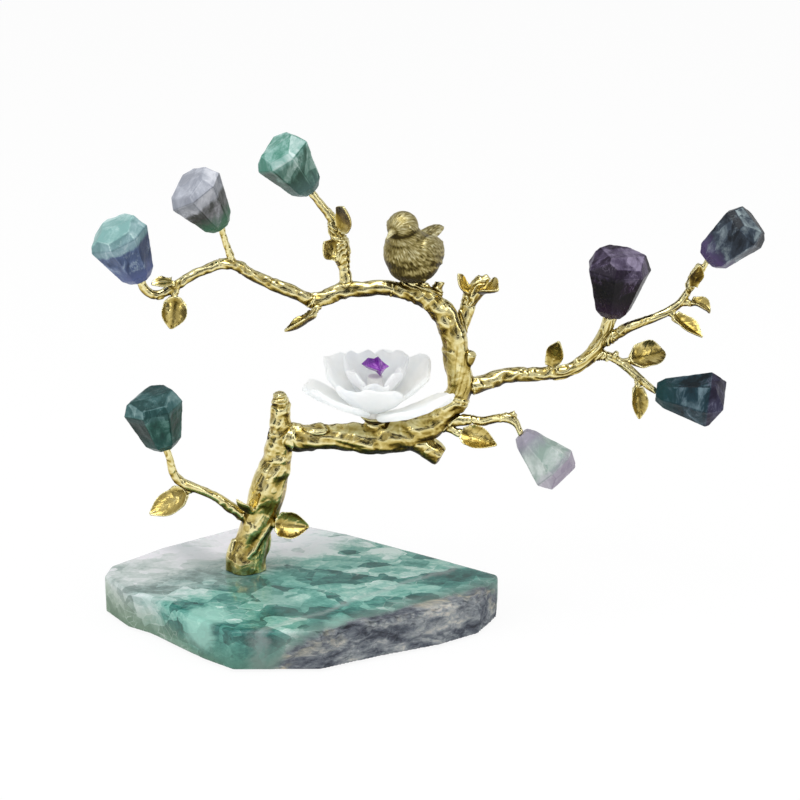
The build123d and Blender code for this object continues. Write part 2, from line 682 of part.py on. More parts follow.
# Upper twig of the right limb, its three leaves and its stone
upper_twig_route = Route(upper_twig_seat, upper_twig_run, upper_twig_reach, upper_twig_rise,
                         upper_twig_shares, upper_twig_tip_diameter, upper_right_stone_way)
down_leaf_seat = leaf_seat(upper_twig_route, 3, (0.70, -0.42, -0.58))
small_curl_seat = leaf_seat(upper_twig_route, 4, (0.94, -0.30, 0.02))
blade_leaf_seat = leaf_seat(upper_twig_route, 5, (0.22, -0.58, 0.78))
finish(cast_limb(upper_twig_route, upper_twig_seat, [down_leaf_seat, small_curl_seat, blade_leaf_seat],
                 stone_end=True), "right_upper_twig")
cast_leaf("upper_down_leaf", down_leaf_seat, down_leaf_length, down_leaf_width, 22, (0.5, -0.7, 0.5))
cast_leaf("upper_curled_leaf", small_curl_seat, small_curl_length, small_curl_width, -60, (0.3, -0.4, 0.9))
cast_leaf("upper_blade_leaf", blade_leaf_seat, blade_leaf_length, blade_leaf_width, -24, (0.1, -0.8, -0.5))
cut_stone("stone_upper_right", upper_twig_route.end_seat(), upper_right_stone, 5, [(140, 28), (300, 34)])

# Lower twig of the right limb, its two leaves and its stone
lower_twig_route = Route(lower_twig_seat, lower_twig_run, lower_twig_reach, lower_twig_drop,
                         lower_twig_shares, lower_twig_tip_diameter, teal_right_stone_way)
large_leaf_seat = leaf_seat(lower_twig_route, 1, (0.93, 0.32, 0.14))
lower_leaf_seat = leaf_seat(lower_twig_route, 2, (0.10, -0.35, -0.93))
finish(cast_limb(lower_twig_route, lower_twig_seat, [large_leaf_seat, lower_leaf_seat], stone_end=True),
       "right_lower_twig")
cast_leaf("lower_broad_leaf", large_leaf_seat, large_leaf_length, large_leaf_width, -24, (-0.1, -0.8, 0.6))
cast_leaf("lower_down_leaf", lower_leaf_seat, lower_leaf_length, lower_leaf_width, -16, (0.2, -0.9, 0.3))
cut_stone("stone_teal_right", lower_twig_route.end_seat(), teal_right_stone, 40, [(120, 30), (250, 34)])

# Arm over the flower: inner arch, its leaf, the top twig and its stone
arch_route = Route(arch_seat, arch_run, arch_reach, arch_rise, arch_shares, arch_tip_diameter)
outer_arch_seat = arch_route.end_seat()
top_twig_seat = arch_route.spur_seat(3, (-0.10, 0.12, 0.98), top_twig_root_diameter)
arch_leaf_seat = leaf_seat(arch_route, 5, (-0.48, -0.60, -0.64))
finish(cast_limb(arch_route, arch_seat, [top_twig_seat, arch_leaf_seat], [outer_arch_seat]), "arch_limb")
cast_leaf("arch_leaf", arch_leaf_seat, arch_leaf_length, arch_leaf_width, 52, (-0.7, -0.2, 0.7))

top_twig_route = Route(top_twig_seat, top_twig_run, top_twig_reach, top_twig_rise, top_twig_shares,
                       top_twig_tip_diameter, top_stone_way)
pointed_leaf_seat = leaf_seat(top_twig_route, 1, (-0.54, -0.42, 0.73))
curled_leaf_seat = leaf_seat(top_twig_route, 3, (0.30, -0.52, 0.80))
finish(cast_limb(top_twig_route, top_twig_seat, [pointed_leaf_seat, curled_leaf_seat], stone_end=True),
       "top_twig")
cast_leaf("top_pointed_leaf", pointed_leaf_seat, pointed_leaf_length, pointed_leaf_width, 20,
          (0.2, -0.9, 0.5))
cast_leaf("top_curled_leaf", curled_leaf_seat, curled_leaf_length, curled_leaf_width, 34,
          (-0.5, -0.8, 0.3))
cut_stone("stone_top", top_twig_route.end_seat(), top_stone, 0, [(60, 36), (180, 26)])

# Outer arch, the stem of the upper left stone, and the drooping twig at the left end
outer_arch_route = Route(outer_arch_seat, outer_arch_run, outer_arch_reach, outer_arch_rise,
                         outer_arch_shares, outer_arch_tip_diameter)
left_twig_seat = outer_arch_route.end_seat()
upper_stem_seat = outer_arch_route.spur_seat(5, (-0.12, -0.08, 0.99), upper_stem_root_diameter)
finish(cast_limb(outer_arch_route, outer_arch_seat, [upper_stem_seat], [left_twig_seat]),
       "outer_arch_limb")

upper_stem_route = Route(upper_stem_seat, upper_stem_run, upper_stem_reach, upper_stem_rise,
                         upper_stem_shares, upper_stem_tip_diameter, upper_left_stone_way)
finish(cast_limb(upper_stem_route, upper_stem_seat, stone_end=True), "upper_left_stem")
cut_stone("stone_upper_left", upper_stem_route.end_seat(), upper_left_stone, 25, [(70, 34), (170, 22)])

left_twig_route = Route(left_twig_seat, left_twig_run, left_twig_reach, left_twig_drop,
                        left_twig_shares, left_twig_tip_diameter, far_left_stone_way)
hanging_leaf_seat = leaf_seat(left_twig_route, 3, (-0.10, -0.40, -0.90))
bract_seat = leaf_seat(left_twig_route, 3, (-0.56, -0.66, 0.50))
finish(cast_limb(left_twig_route, left_twig_seat, [hanging_leaf_seat, bract_seat], stone_end=True),
       "left_tip_twig")
cast_leaf("hanging_leaf", hanging_leaf_seat, hanging_leaf_length, hanging_leaf_width, -20,
          (0.2, -0.9, 0.2))
cast_leaf("tip_bract", bract_seat, bract_length, bract_width, -58, (0.6, -0.3, 0.7))
cut_stone("stone_far_left", left_twig_route.end_seat(), far_left_stone, 15, [(180, 22), (90, 30)])

# Flower: calyx cup pegged to the bough, turned core, and petals in four tiers round it
with BuildPart() as flower_cup:
    with BuildSketch(flower_seat.plane):
        Circle(flower_seat_diameter / 2)
    with BuildSketch(flower_seat.plane.offset(cup_height)):
        Circle(cup_diameter / 2)
    loft()
    with Locations(flower_seat.plane.offset(overrun)):
        Cylinder(flower_seat.peg_diameter / 2, flower_seat.peg_length + overrun,
                 align=(Align.CENTER, Align.CENTER, Align.MAX))
finish(flower_cup, "flower_cup")

cup_top = flower_seat.plane.offset(cup_height)
with BuildPart() as flower_core:
    with BuildSketch(cup_top):
        Circle(core_foot_diameter / 2)
    with BuildSketch(cup_top.offset(core_height)):
        Circle(core_top_diameter / 2)
    loft()
finish(flower_core, "flower_core")


def carve_petal(name, tier_height, azimuth, length, width, tilt_start, tilt_end, swing=0):
    """A petal shaped as a piece of a bowl about the flower's axis, rooted on the core."""
    core_taper = (core_foot_diameter - core_top_diameter) / 2 * tier_height / core_height
    core_radius = core_foot_diameter / 2 - core_taper
    lean = math.radians(tilt_start)
    root_radius = core_radius + core_seat_gap + petal_thickness / 2 * math.sin(lean)
    bend = math.radians(tilt_end - tilt_start)
    arc_radius = length / bend
    sections = []
    for along_share, width_share in petal_section_shares:
        tilt = lean + bend * along_share
        out = root_radius + arc_radius * (math.sin(tilt) - math.sin(lean))
        up = tier_height + arc_radius * (math.cos(lean) - math.cos(tilt))
        turn = math.radians(azimuth + swing * along_share)
        outward = Vector(math.cos(turn), math.sin(turn), 0)
        around = Vector(-math.sin(turn), math.cos(turn), 0)
        upward = Vector(0, 0, 1)
        point = cup_top.origin + outward * out + upward * up
        way = outward * math.cos(tilt) + upward * math.sin(tilt)
        section_width = petal_root_width + (width - petal_root_width) * width_share
        dish = section_width**2 * math.sin(tilt) / (8 * out)
        plane = Plane(origin=point, x_dir=-around, z_dir=way)
        sections.append((plane, section_width, dish, petal_thickness))
    finish(shape_blade(sections), name)


carve_petal("petal_left", low_tier_height, 208, left_petal_length, left_petal_width, 20, 46)
carve_petal("petal_low_right", low_tier_height, 308, low_right_petal_length, low_right_petal_width,
            15, 36, swing=20)
carve_petal("petal_back", low_tier_height, 92, back_petal_length, back_petal_width, 26, 54)
carve_petal("petal_front", mid_tier_height, 268, front_petal_length, front_petal_width, 29, 57)
carve_petal("petal_right", mid_tier_height, 20, right_petal_length, right_petal_width, 30, 58)
carve_petal("petal_back_left", mid_tier_height, 150, back_left_petal_length, back_left_petal_width,
            31, 58)
carve_petal("petal_rear_right", high_tier_height, 61, rear_petal_length, rear_petal_width, 43, 71)
carve_petal("petal_rear_left", high_tier_height, 122, rear_petal_length, rear_petal_width, 43, 71)
carve_petal("petal_inner_left", inner_tier_height, 200, inner_petal_length, inner_petal_width, 48, 80)
carve_petal("petal_inner_front", inner_tier_height, 268, inner_front_petal_length, inner_petal_width,
            44, 76)
carve_petal("petal_inner_right", inner_tier_height, 336, inner_petal_length, inner_petal_width, 48, 80)

# Rough amethyst on top of the core
heart_plane = cup_top.offset(core_height)
with BuildPart() as amethyst_heart:
    for along_share, width in ((0, heart_foot_width), (0.45, heart_waist_width), (1, heart_tip_width)):
        with BuildSketch(heart_plane.offset(heart_height * along_share)):
            RegularPolygon(width / 2, 5)
    loft(ruled=True)
finish(amethyst_heart, "amethyst_heart")

# Bird: one casting on a steel pin, its belly cut flat where it sits on the perch
heading = Vector(math.cos(math.radians(bird_heading)), math.sin(math.radians(bird_heading)), 0)
bird_frame = Plane(origin=perch_seat.centre, x_dir=heading, z_dir=(0, 0, 1))


def bird_point(forward, left, height):
    """A point given from the bird's seat: forward, to its left and up."""
    return bird_frame.from_local_coords(Vector(forward, left, height))


def bird_way(pitch):
    """The way that points forward and up by a pitch."""
    lean = math.radians(pitch)
    return heading * math.cos(lean) + Vector(0, 0, 1) * math.sin(lean)


bird_side = Vector(-heading.Y, heading.X, 0)
ovals = [
    (bird_point(0, 0, body_width / 2), bird_way(body_pitch), body_length, body_width),
    (bird_point(-wing_back, wing_out, wing_height), bird_way(wing_pitch), wing_length, wing_width),
    (bird_point(-wing_back, -wing_out, wing_height), bird_way(wing_pitch), wing_length, wing_width),
]
with BuildPart() as bird:
    for centre, way, oval_length, oval_width in ovals:
        for angle in oval_angles:
            along = way * oval_length / 2 * math.sin(math.radians(angle))
            with BuildSketch(Plane(origin=centre + along, x_dir=bird_side, z_dir=way)):
                Circle(oval_width / 2 * math.cos(math.radians(angle)))
        loft()
    with Locations(bird_point(head_forward, 0, head_height)):
        Sphere(head_diameter / 2)
    beak_way = bird_way(beak_pitch)
    with Locations(Plane(origin=bird_point(head_forward, 0, head_height) + beak_way * head_diameter / 3,
                         z_dir=beak_way)):
        Cone(beak_diameter / 2, beak_tip_diameter / 2, beak_length,
             align=(Align.CENTER, Align.CENTER, Align.MIN))
    tail_way = bird_way(180 - tail_pitch)
    tail_root = Plane(origin=bird_point(-tail_back, 0, tail_height), x_dir=bird_side, z_dir=tail_way)
    with BuildSketch(tail_root):
        Rectangle(tail_root_width, tail_thickness * 2)
    with BuildSketch(tail_root.offset(tail_length)):
        Rectangle(tail_tip_width, tail_thickness)
    loft()
    split(bisect_by=perch_seat.plane, keep=Keep.TOP)
    with Locations(perch_seat.plane.offset(-overrun)):
        Cylinder(bird_pin_diameter / 2 + peg_clearance,
                 bird_pin_length / 2 + socket_relief + overrun,
                 align=(Align.CENTER, Align.CENTER, Align.MIN), mode=Mode.SUBTRACT)
finish(bird, "bird")

with BuildPart() as bird_pin:
    with BuildSketch(perch_seat.plane.offset(-bird_pin_length / 2)):
        Circle(bird_pin_diameter / 2)
    extrude(amount=bird_pin_length)
finish(bird_pin, "bird_pin")
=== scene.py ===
import math

import bmesh
import bpy
import numpy as np
from mathutils import Matrix, Vector, kdtree, noise


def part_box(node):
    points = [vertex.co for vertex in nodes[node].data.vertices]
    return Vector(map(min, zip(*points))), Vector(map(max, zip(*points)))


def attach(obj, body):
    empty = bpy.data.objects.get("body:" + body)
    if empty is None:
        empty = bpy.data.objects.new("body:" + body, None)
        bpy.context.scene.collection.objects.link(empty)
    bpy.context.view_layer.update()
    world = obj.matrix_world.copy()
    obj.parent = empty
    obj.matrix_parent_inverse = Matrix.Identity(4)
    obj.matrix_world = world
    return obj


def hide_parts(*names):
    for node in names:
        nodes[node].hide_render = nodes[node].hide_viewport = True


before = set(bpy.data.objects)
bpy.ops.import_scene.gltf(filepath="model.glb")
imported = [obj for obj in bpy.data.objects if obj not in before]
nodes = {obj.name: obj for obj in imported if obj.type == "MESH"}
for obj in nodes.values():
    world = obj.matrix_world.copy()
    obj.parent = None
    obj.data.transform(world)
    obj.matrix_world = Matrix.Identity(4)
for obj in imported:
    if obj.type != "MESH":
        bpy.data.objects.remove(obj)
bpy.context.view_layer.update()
mm = 0.001

# Fluorite slab: sawn across a banded boulder and polished on top, its edge left as the stone broke.
# The polish lets the eye into the green shards and milky veils; the front right edge is a crust of
# fine purple-grey crystals.
slab_skin = 1.0 * mm
weld_reach = 0.01 * mm
sawn_roughness = 0.35 * mm
edge_lean = 0.3
crust_depth = 3.0 * mm
crust_lump_size = 11.0 * mm
crust_grain_size = 3.2 * mm
crust_patch_size = 9.0 * mm
crust_way = Vector((0.5, -0.866, -0.42))
crust_reach = 51.0 * mm
crust_wander = 6.0 * mm
crust_fade = 5.0 * mm
shard_length = 21.0 * mm
shard_width = 13.0 * mm
shard_lean = (0.2, 0.12, math.radians(-24))
shard_bend = 0.17
splinter_size = 5.5 * mm
veil_size = 24.0 * mm
sugar_size = 1.6 * mm
far_edge_start = 12.0 * mm
far_edge_end = 42.0 * mm
mint_shards = (((-50, -50, 18), 1.0 * mm, 6.0 * mm), ((22, -58, 30), -2.0 * mm, 3.0 * mm))
mint_wander = -18.0 * mm


def linear(hex_colour):
    """An sRGB colour such as "c8a24a" as linear red, green, blue and an alpha of 1."""
    shares = [int(hex_colour[at:at + 2], 16) / 255 for at in (0, 2, 4)]
    return tuple(
        share / 12.92 if share <= 0.04045 else ((share + 0.055) / 1.055) ** 2.4 for share in shares
    ) + (1.0,)


def node(tree, kind, inputs=None, stops=(), **settings):
    """A new shader node with its settings; each input is set, or linked where it is given a socket."""
    made = tree.nodes.new("ShaderNode" + kind)
    for name, value in settings.items():
        setattr(made, name, value)
    for at, (position, colour) in enumerate(stops):
        ramp = made.color_ramp.elements
        stop = ramp[at] if at < len(ramp) else ramp.new(position)
        stop.position = position
        stop.color = colour
    for name, value in (inputs or {}).items():
        if isinstance(value, bpy.types.NodeSocket):
            tree.links.new(value, made.inputs[name])
        else:
            made.inputs[name].default_value = value
    return made


def start_material(name, **shader_values):
    """A new material, its node tree, its shader, and the object's own coordinates."""
    material = bpy.data.materials.new(name)
    material.use_nodes = True
    tree = material.node_tree
    shader = tree.nodes["Principled BSDF"]
    for socket, value in shader_values.items():
        shader.inputs[socket.replace("_", " ")].default_value = value
    return material, tree, shader, node(tree, "TexCoord").outputs["Object"]


def fuse(name, shapes, skin):
    """A new piece: some closed shapes joined under one even skin of small faces."""
    joined = bmesh.new()
    for shape in shapes:
        joined.from_mesh(shape)
    bmesh.ops.remove_doubles(joined, verts=joined.verts, dist=weld_reach)
    mesh = bpy.data.meshes.new(name)
    joined.to_mesh(mesh)
    joined.free()
    blank = bpy.data.objects.new(name + "_blank", mesh)
    bpy.context.scene.collection.objects.link(blank)
    remesh = blank.modifiers.new("skin", "REMESH")
    remesh.mode = "VOXEL"
    remesh.voxel_size = skin
    depsgraph = bpy.context.evaluated_depsgraph_get()
    mesh = bpy.data.meshes.new_from_object(blank.evaluated_get(depsgraph))
    bpy.data.objects.remove(blank)
    piece = bpy.data.objects.new(name, mesh)
    bpy.context.scene.collection.objects.link(piece)
    return piece


def read_skin(piece):
    """The places and outward directions of a piece's points, and its edges, as arrays."""
    mesh = piece.data
    places = np.empty(len(mesh.vertices) * 3)
    outward = np.empty(len(mesh.vertices) * 3)
    edges = np.empty(len(mesh.edges) * 2, dtype=int)
    mesh.vertices.foreach_get("co", places)
    mesh.vertices.foreach_get("normal", outward)
    mesh.edges.foreach_get("vertices", edges)
    return places.reshape(-1, 3), outward.reshape(-1, 3), edges.reshape(-1, 2)


def write_skin(piece, places):
    """Put a piece's points where they are given, and shade it smooth."""
    piece.data.vertices.foreach_set("co", places.ravel())
    piece.data.shade_smooth()
    piece.data.update()


def relax(places, edges, rounds, share=0.5):
    """Draw each point towards the middle of its neighbours, so many times."""
    first, second = edges.T
    count = np.bincount(edges.ravel(), minlength=len(places))[:, None]
    for _ in range(rounds):
        total = np.stack([
            np.bincount(first, places[second, axis], len(places))
            + np.bincount(second, places[first, axis], len(places))
            for axis in range(3)
        ], axis=1)
        places = places + (total / count - places) * share
    return places


def mark(piece, name, values):
    """Keep one number for each point of a piece, for its material to read."""
    piece.data.attributes.new(name, "FLOAT", "POINT").data.foreach_set("value", values)


def dress(piece, material, slot, *replaced):
    """Give a piece its material, and let it stand for the solids that it replaces. The slot, its finish's
    name, is not used.
    """
    piece.data.materials.clear()
    piece.data.materials.append(material)
    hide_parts(*replaced)
    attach(piece, "root")


slab = fuse("fluorite_slab_stone", [nodes["fluorite_slab"].data], slab_skin)
places, outward, edges = read_skin(slab)
places = relax(places, edges, 2)
slab_low, slab_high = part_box("fluorite_slab")
for place, way in zip(places, outward):
    side = math.hypot(way[0], way[1])
    spot = Vector(place)
    crusty = spot.dot(crust_way) - crust_reach + noise.noise(spot / crust_lump_size) * crust_wander
    crusty = min(1, max(0, crusty / crust_fade))
    if side > edge_lean or crusty > 0:
        lumps = noise.fractal(spot / crust_lump_size, 0.8, 2.0, 3)
        grain = noise.noise(spot / crust_grain_size)
        depth = sawn_roughness * max(0, lumps) + crusty * crust_depth * (0.45 + 0.5 * lumps + 0.45 * grain)
        above = max(0, (place[2] - slab_low.z) / (slab_high.z - slab_low.z))
        inward = max(0, depth) * (0.35 + 0.65 * above)
        if side > edge_lean:
            place[0] -= way[0] / side * inward
            place[1] -= way[1] / side * inward
        if way[2] > 0:
            place[2] -= crusty * inward * 0.8
places[:, 2] = np.clip(places[:, 2], slab_low.z, slab_high.z)
write_skin(slab, places)

# Fluorite, polished: a low gloss over stone that light enters a little way, with shards that meet in
# hard edges, splinters in them, white cleavage lines, sugary grain and milky veils.
fluorite, tree, shader, spot = start_material("polished_fluorite", IOR=1.434, Roughness=0.16,
                                              Subsurface_Weight=0.12,
                                              Subsurface_Radius=(3 * mm, 5 * mm, 4 * mm))
grown = node(tree, "Mapping", {"Vector": spot, "Rotation": shard_lean, "Scale": (
    1 / shard_length, 1 / shard_width, 1 / shard_width)}).outputs[0]
bend = node(tree, "TexNoise", {"Vector": grown, "Scale": 1.6, "Detail": 4.0})
bend = node(tree, "VectorMath", {0: bend.outputs["Color"], 1: (shard_bend, shard_bend, shard_bend)},
            operation="MULTIPLY")
bent = node(tree, "VectorMath", {0: grown, 1: bend.outputs[0]}, operation="ADD").outputs[0]
shards = node(tree, "TexVoronoi", {"Vector": bent, "Scale": 1.0, "Randomness": 1.0}, distance="MANHATTAN")
splinters = node(tree, "TexVoronoi", {"Vector": bent, "Scale": shard_width / splinter_size})
cleaves = node(tree, "TexVoronoi", {"Vector": bent, "Scale": shard_width / splinter_size},
               feature="DISTANCE_TO_EDGE")
veils = node(tree, "TexNoise", {"Vector": bent, "Scale": shard_width / veil_size, "Detail": 10.0,
                                "Roughness": 0.68, "Distortion": 0.4}).outputs["Fac"]
sugar = node(tree, "TexNoise", {"Vector": bent, "Scale": shard_width / sugar_size, "Detail": 6.0,
                                "Roughness": 0.75}).outputs["Fac"]
shard_tone = node(tree, "SeparateColor", {"Color": shards.outputs["Color"]}).outputs[0]
splinter_tone = node(tree, "SeparateColor", {"Color": splinters.outputs["Color"]}).outputs[1]
place_on_slab = node(tree, "SeparateXYZ", {"Vector": spot})
tone = node(tree, "MapRange", {0: place_on_slab.outputs["Y"], 1: far_edge_start, 2: far_edge_end,
                               3: -0.16, 4: 0.06}).outputs[0]
for part, share in ((shard_tone, 0.33), (splinter_tone, 0.16), (veils, 0.82), (sugar, 0.34)):
    tone = node(tree, "Math", {0: part, 1: share, 2: tone}, operation="MULTIPLY_ADD").outputs[0]
greens = node(tree, "ValToRGB", {0: tone}, stops=(
    (0.44, linear("254c48")), (0.56, linear("356e67")), (0.66, linear("4c8c81")), (0.76, linear("6ea89b")),
    (0.87, linear("9cc4b9")), (0.97, linear("cfe2dc")),
)).outputs[0]
milky = node(tree, "ValToRGB", {0: tone}, stops=(
    (0.46, linear("94a29e")), (0.58, linear("b6c1be")), (0.70, linear("cdd2d2")), (0.86, linear("e2e1e6")),
)).outputs[0]
olive = node(tree, "ValToRGB", {0: tone}, stops=(
    (0.46, linear("6c7b60")), (0.60, linear("97a78d")), (0.74, linear("b3c2ac")), (0.90, linear("d0d9ca")),
)).outputs[0]

# The crust's crystals are streaked along the edge: grey faces, beige rust on top, and dark between them.
# Where the tone follows the crystals' bump it is painted light and shade, dark in its hollows and pale on its
# tops; the patches are the stone's own tone.
streaked = node(tree, "Mapping", {"Vector": spot, "Rotation": (0.0, 0.25, math.radians(-30)),
                                  "Scale": (0.42, 1.0, 1.15)}).outputs[0]
crystals = node(tree, "TexNoise", {"Vector": streaked, "Scale": 1 / crust_grain_size, "Detail": 9.0,
                                   "Roughness": 0.72, "Distortion": 0.9}).outputs["Fac"]
patches = node(tree, "TexNoise", {"Vector": streaked, "Scale": 1 / crust_patch_size, "Detail": 5.0,
                                  "Distortion": 0.6}).outputs["Fac"]
crust_tone_and_shade = node(tree, "Math", {0: patches, 1: 0.575}, operation="MULTIPLY")
# The crystals' share is painted shade in the bump's hollows and painted light on its tops.
crust_tone_and_shade = node(tree, "Math", {0: crystals, 1: 0.425, 2: crust_tone_and_shade.outputs[0]}, operation="MULTIPLY_ADD")
greys = node(tree, "ValToRGB", {0: crust_tone_and_shade.outputs[0]}, stops=(
    (0.37, linear("2a2d34")), (0.44, linear("4b505a")), (0.50, linear("6c7279")), (0.57, linear("959a9c")),
    (0.66, linear("c9c4ba")),
)).outputs[0]


def zone(way, fray, start, full, share=1.0, middle=None):
    """How much of a zone shows at each spot. It lies one way, or beside a middle line; veils fray it."""
    reach = node(tree, "VectorMath", {0: spot, 1: way}, operation="DOT_PRODUCT").outputs["Value"]
    reach = node(tree, "Math", {0: veils, 1: fray, 2: reach}, operation="MULTIPLY_ADD").outputs[0]
    if middle is not None:
        reach = node(tree, "Math", {0: reach, 1: middle}, operation="SUBTRACT").outputs[0]
        reach = node(tree, "Math", {0: reach}, operation="ABSOLUTE").outputs[0]
    return node(tree, "MapRange", {0: reach, 1: start, 2: full, 4: share}).outputs[0]


front_right = (50.0, -86.6, -42.0)
crust = zone(front_right, 1.4, 5.85, 6.15)
rusty = node(tree, "MapRange", {0: patches, 1: 0.52, 2: 0.60})
rust = node(tree, "Math", {0: zone(front_right, 1.4, 6.9, 6.2, 0.6), 1: rusty.outputs[0]},
            operation="MULTIPLY")
crusted = node(tree, "Mix", {0: rust.outputs[0], 6: greys, 7: linear("b3a88e")},
               data_type="RGBA", blend_type="OVERLAY").outputs[2]
cleave = node(tree, "MapRange", {0: cleaves.outputs["Distance"], 1: 0.0, 2: 0.040, 3: 0.32, 4: 0.0})
cleaved_here = node(tree, "MapRange", {0: veils, 1: 0.50, 2: 0.62})
cleave = node(tree, "Math", {0: cleave.outputs[0], 1: cleaved_here.outputs[0]}, operation="MULTIPLY")

# What lies over the greens, in turn, with the share of it that shows: the milky back left, the olive
# left end, a pale band along the front, a dull one across, the darker lower edge, the white cleavage
# lines, two mint shards, the grey rim of the crust, and the crust. A zone's way is given per metre.
layers = [
    (zone((-7.0, 10.5, 2.0), 0.9, 0.62, 1.10), milky),
    (zone((-12.0, -4.0, -30.0), 0.9, 1.05, 1.65), olive),
    (zone((58.6, -81.0, 0.0), 2.2, 0.35, 0.05, 0.32, middle=5.35), linear("b7bdbc")),
    (zone((77.0, 63.5, 0.0), 3.0, 1.50, 0.30, 0.34, middle=-1.4), linear("5f7d77")),
    (zone((0.0, 0.0, 1.0), -30 * mm, 8 * mm, -16 * mm, 0.75), linear("4c6f5d")),
    (cleave.outputs[0], linear("e4eeea")),
]
for shard_place, inside, outside in mint_shards:
    near = node(tree, "VectorMath", {0: spot, 1: Vector(shard_place) * mm}, operation="DISTANCE")
    near = node(tree, "Math", {0: veils, 1: mint_wander, 2: near.outputs["Value"]},
                operation="MULTIPLY_ADD")
    near = node(tree, "MapRange", {0: near.outputs[0], 1: inside, 2: outside, 3: 0.55, 4: 0.0})
    layers.append((near.outputs[0], linear("a5d6c8")))
layers.append((zone(front_right, 1.4, 4.9, 5.9, 0.65), linear("72807b")))
layers.append((crust, crusted))
stone_colour = greens
for shown, layer in layers:
    stone_colour = node(tree, "Mix", {0: shown, 6: stone_colour, 7: layer}, data_type="RGBA").outputs[2]
tree.links.new(stone_colour, shader.inputs["Base Color"])
facing_up = node(tree, "SeparateXYZ", {0: node(tree, "NewGeometry").outputs["Normal"]})
sawn = node(tree, "MapRange", {0: facing_up.outputs["Z"], 1: 0.75, 2: 0.97, 3: 0.45, 4: 0.14})
dull = node(tree, "Math", {0: crust, 1: 0.4, 2: sawn.outputs[0]}, operation="MULTIPLY_ADD")
tree.links.new(dull.outputs[0], shader.inputs["Roughness"])
crust_bump = node(tree, "Bump", {"Height": crystals, "Distance": 1.2 * mm, "Strength": crust})
tree.links.new(crust_bump.outputs[0], shader.inputs["Normal"])
dress(slab, fluorite, "fluorite_slab", "fluorite_slab")

# Felt under the slab, and the zinc-plated screw and washer that hold the trunk from below.
# The felt's fibres only show as a soft black nap at its edge; the screw and washer are closed in.
fibre_size = 0.4 * mm
spangle_size = 3.0 * mm

# Wool felt: dull black with a faint sheen. Its fibres are finer than the render shows, so the nap
# is drawn in tufts of 0.4 mm.
felt, tree, shader, spot = start_material("black_felt", Roughness=0.95, Sheen_Weight=0.4)
nap = node(tree, "TexNoise", {"Vector": spot, "Scale": 1 / fibre_size, "Detail": 3.0})
nap_colour = node(tree, "ValToRGB", {0: nap.outputs["Fac"]},
                  stops=((0.3, linear("141414")), (0.7, linear("2b2b2b"))))
tree.links.new(nap_colour.outputs[0], shader.inputs["Base Color"])
nap_bump = node(tree, "Bump", {"Height": nap.outputs["Fac"], "Distance": 0.2 * mm})
tree.links.new(nap_bump.outputs[0], shader.inputs["Normal"])
nodes["base_felt"].data.materials.clear()
nodes["base_felt"].data.materials.append(felt)

# Zinc-plated steel: a satin grey metal with a faint cloudy spangle.
plated_steel, tree, shader, spot = start_material("zinc_plated_steel", Metallic=1.0, Roughness=0.35)
spangle = node(tree, "TexNoise", {"Vector": spot, "Scale": 1 / spangle_size, "Detail": 2.0})
spangle_colour = node(tree, "ValToRGB", {0: spangle.outputs["Fac"]},
                      stops=((0.35, linear("9da0a3")), (0.65, linear("c2c4c6"))))
tree.links.new(spangle_colour.outputs[0], shader.inputs["Base Color"])
for name in ("base_bolt", "base_washer", "bird_pin"):
    nodes[name].data.materials.clear()
    nodes[name].data.materials.append(plated_steel)

# Limbs and twigs: cast in brass from real branches, brazed together at swollen knuckles and
# lacquered over a dark wash that stays in the bark's hollows. The casting gives rounded lumps, and
# the polish makes their tops bright.
limb_skin = 0.45 * mm
bulge_share = 0.17
ridge_height = 0.42
crack_depth = 0.16
crack_width = 0.12
flake_depth = 0.16
pit_size = 1.5
pit_depth = 0.03
route_step = 0.5
knuckle_share = 1.05
strand_steps = 24
wash_cloud_size = 11.0 * mm
wash_speck_size = 1.6 * mm
grit_size = 0.9 * mm

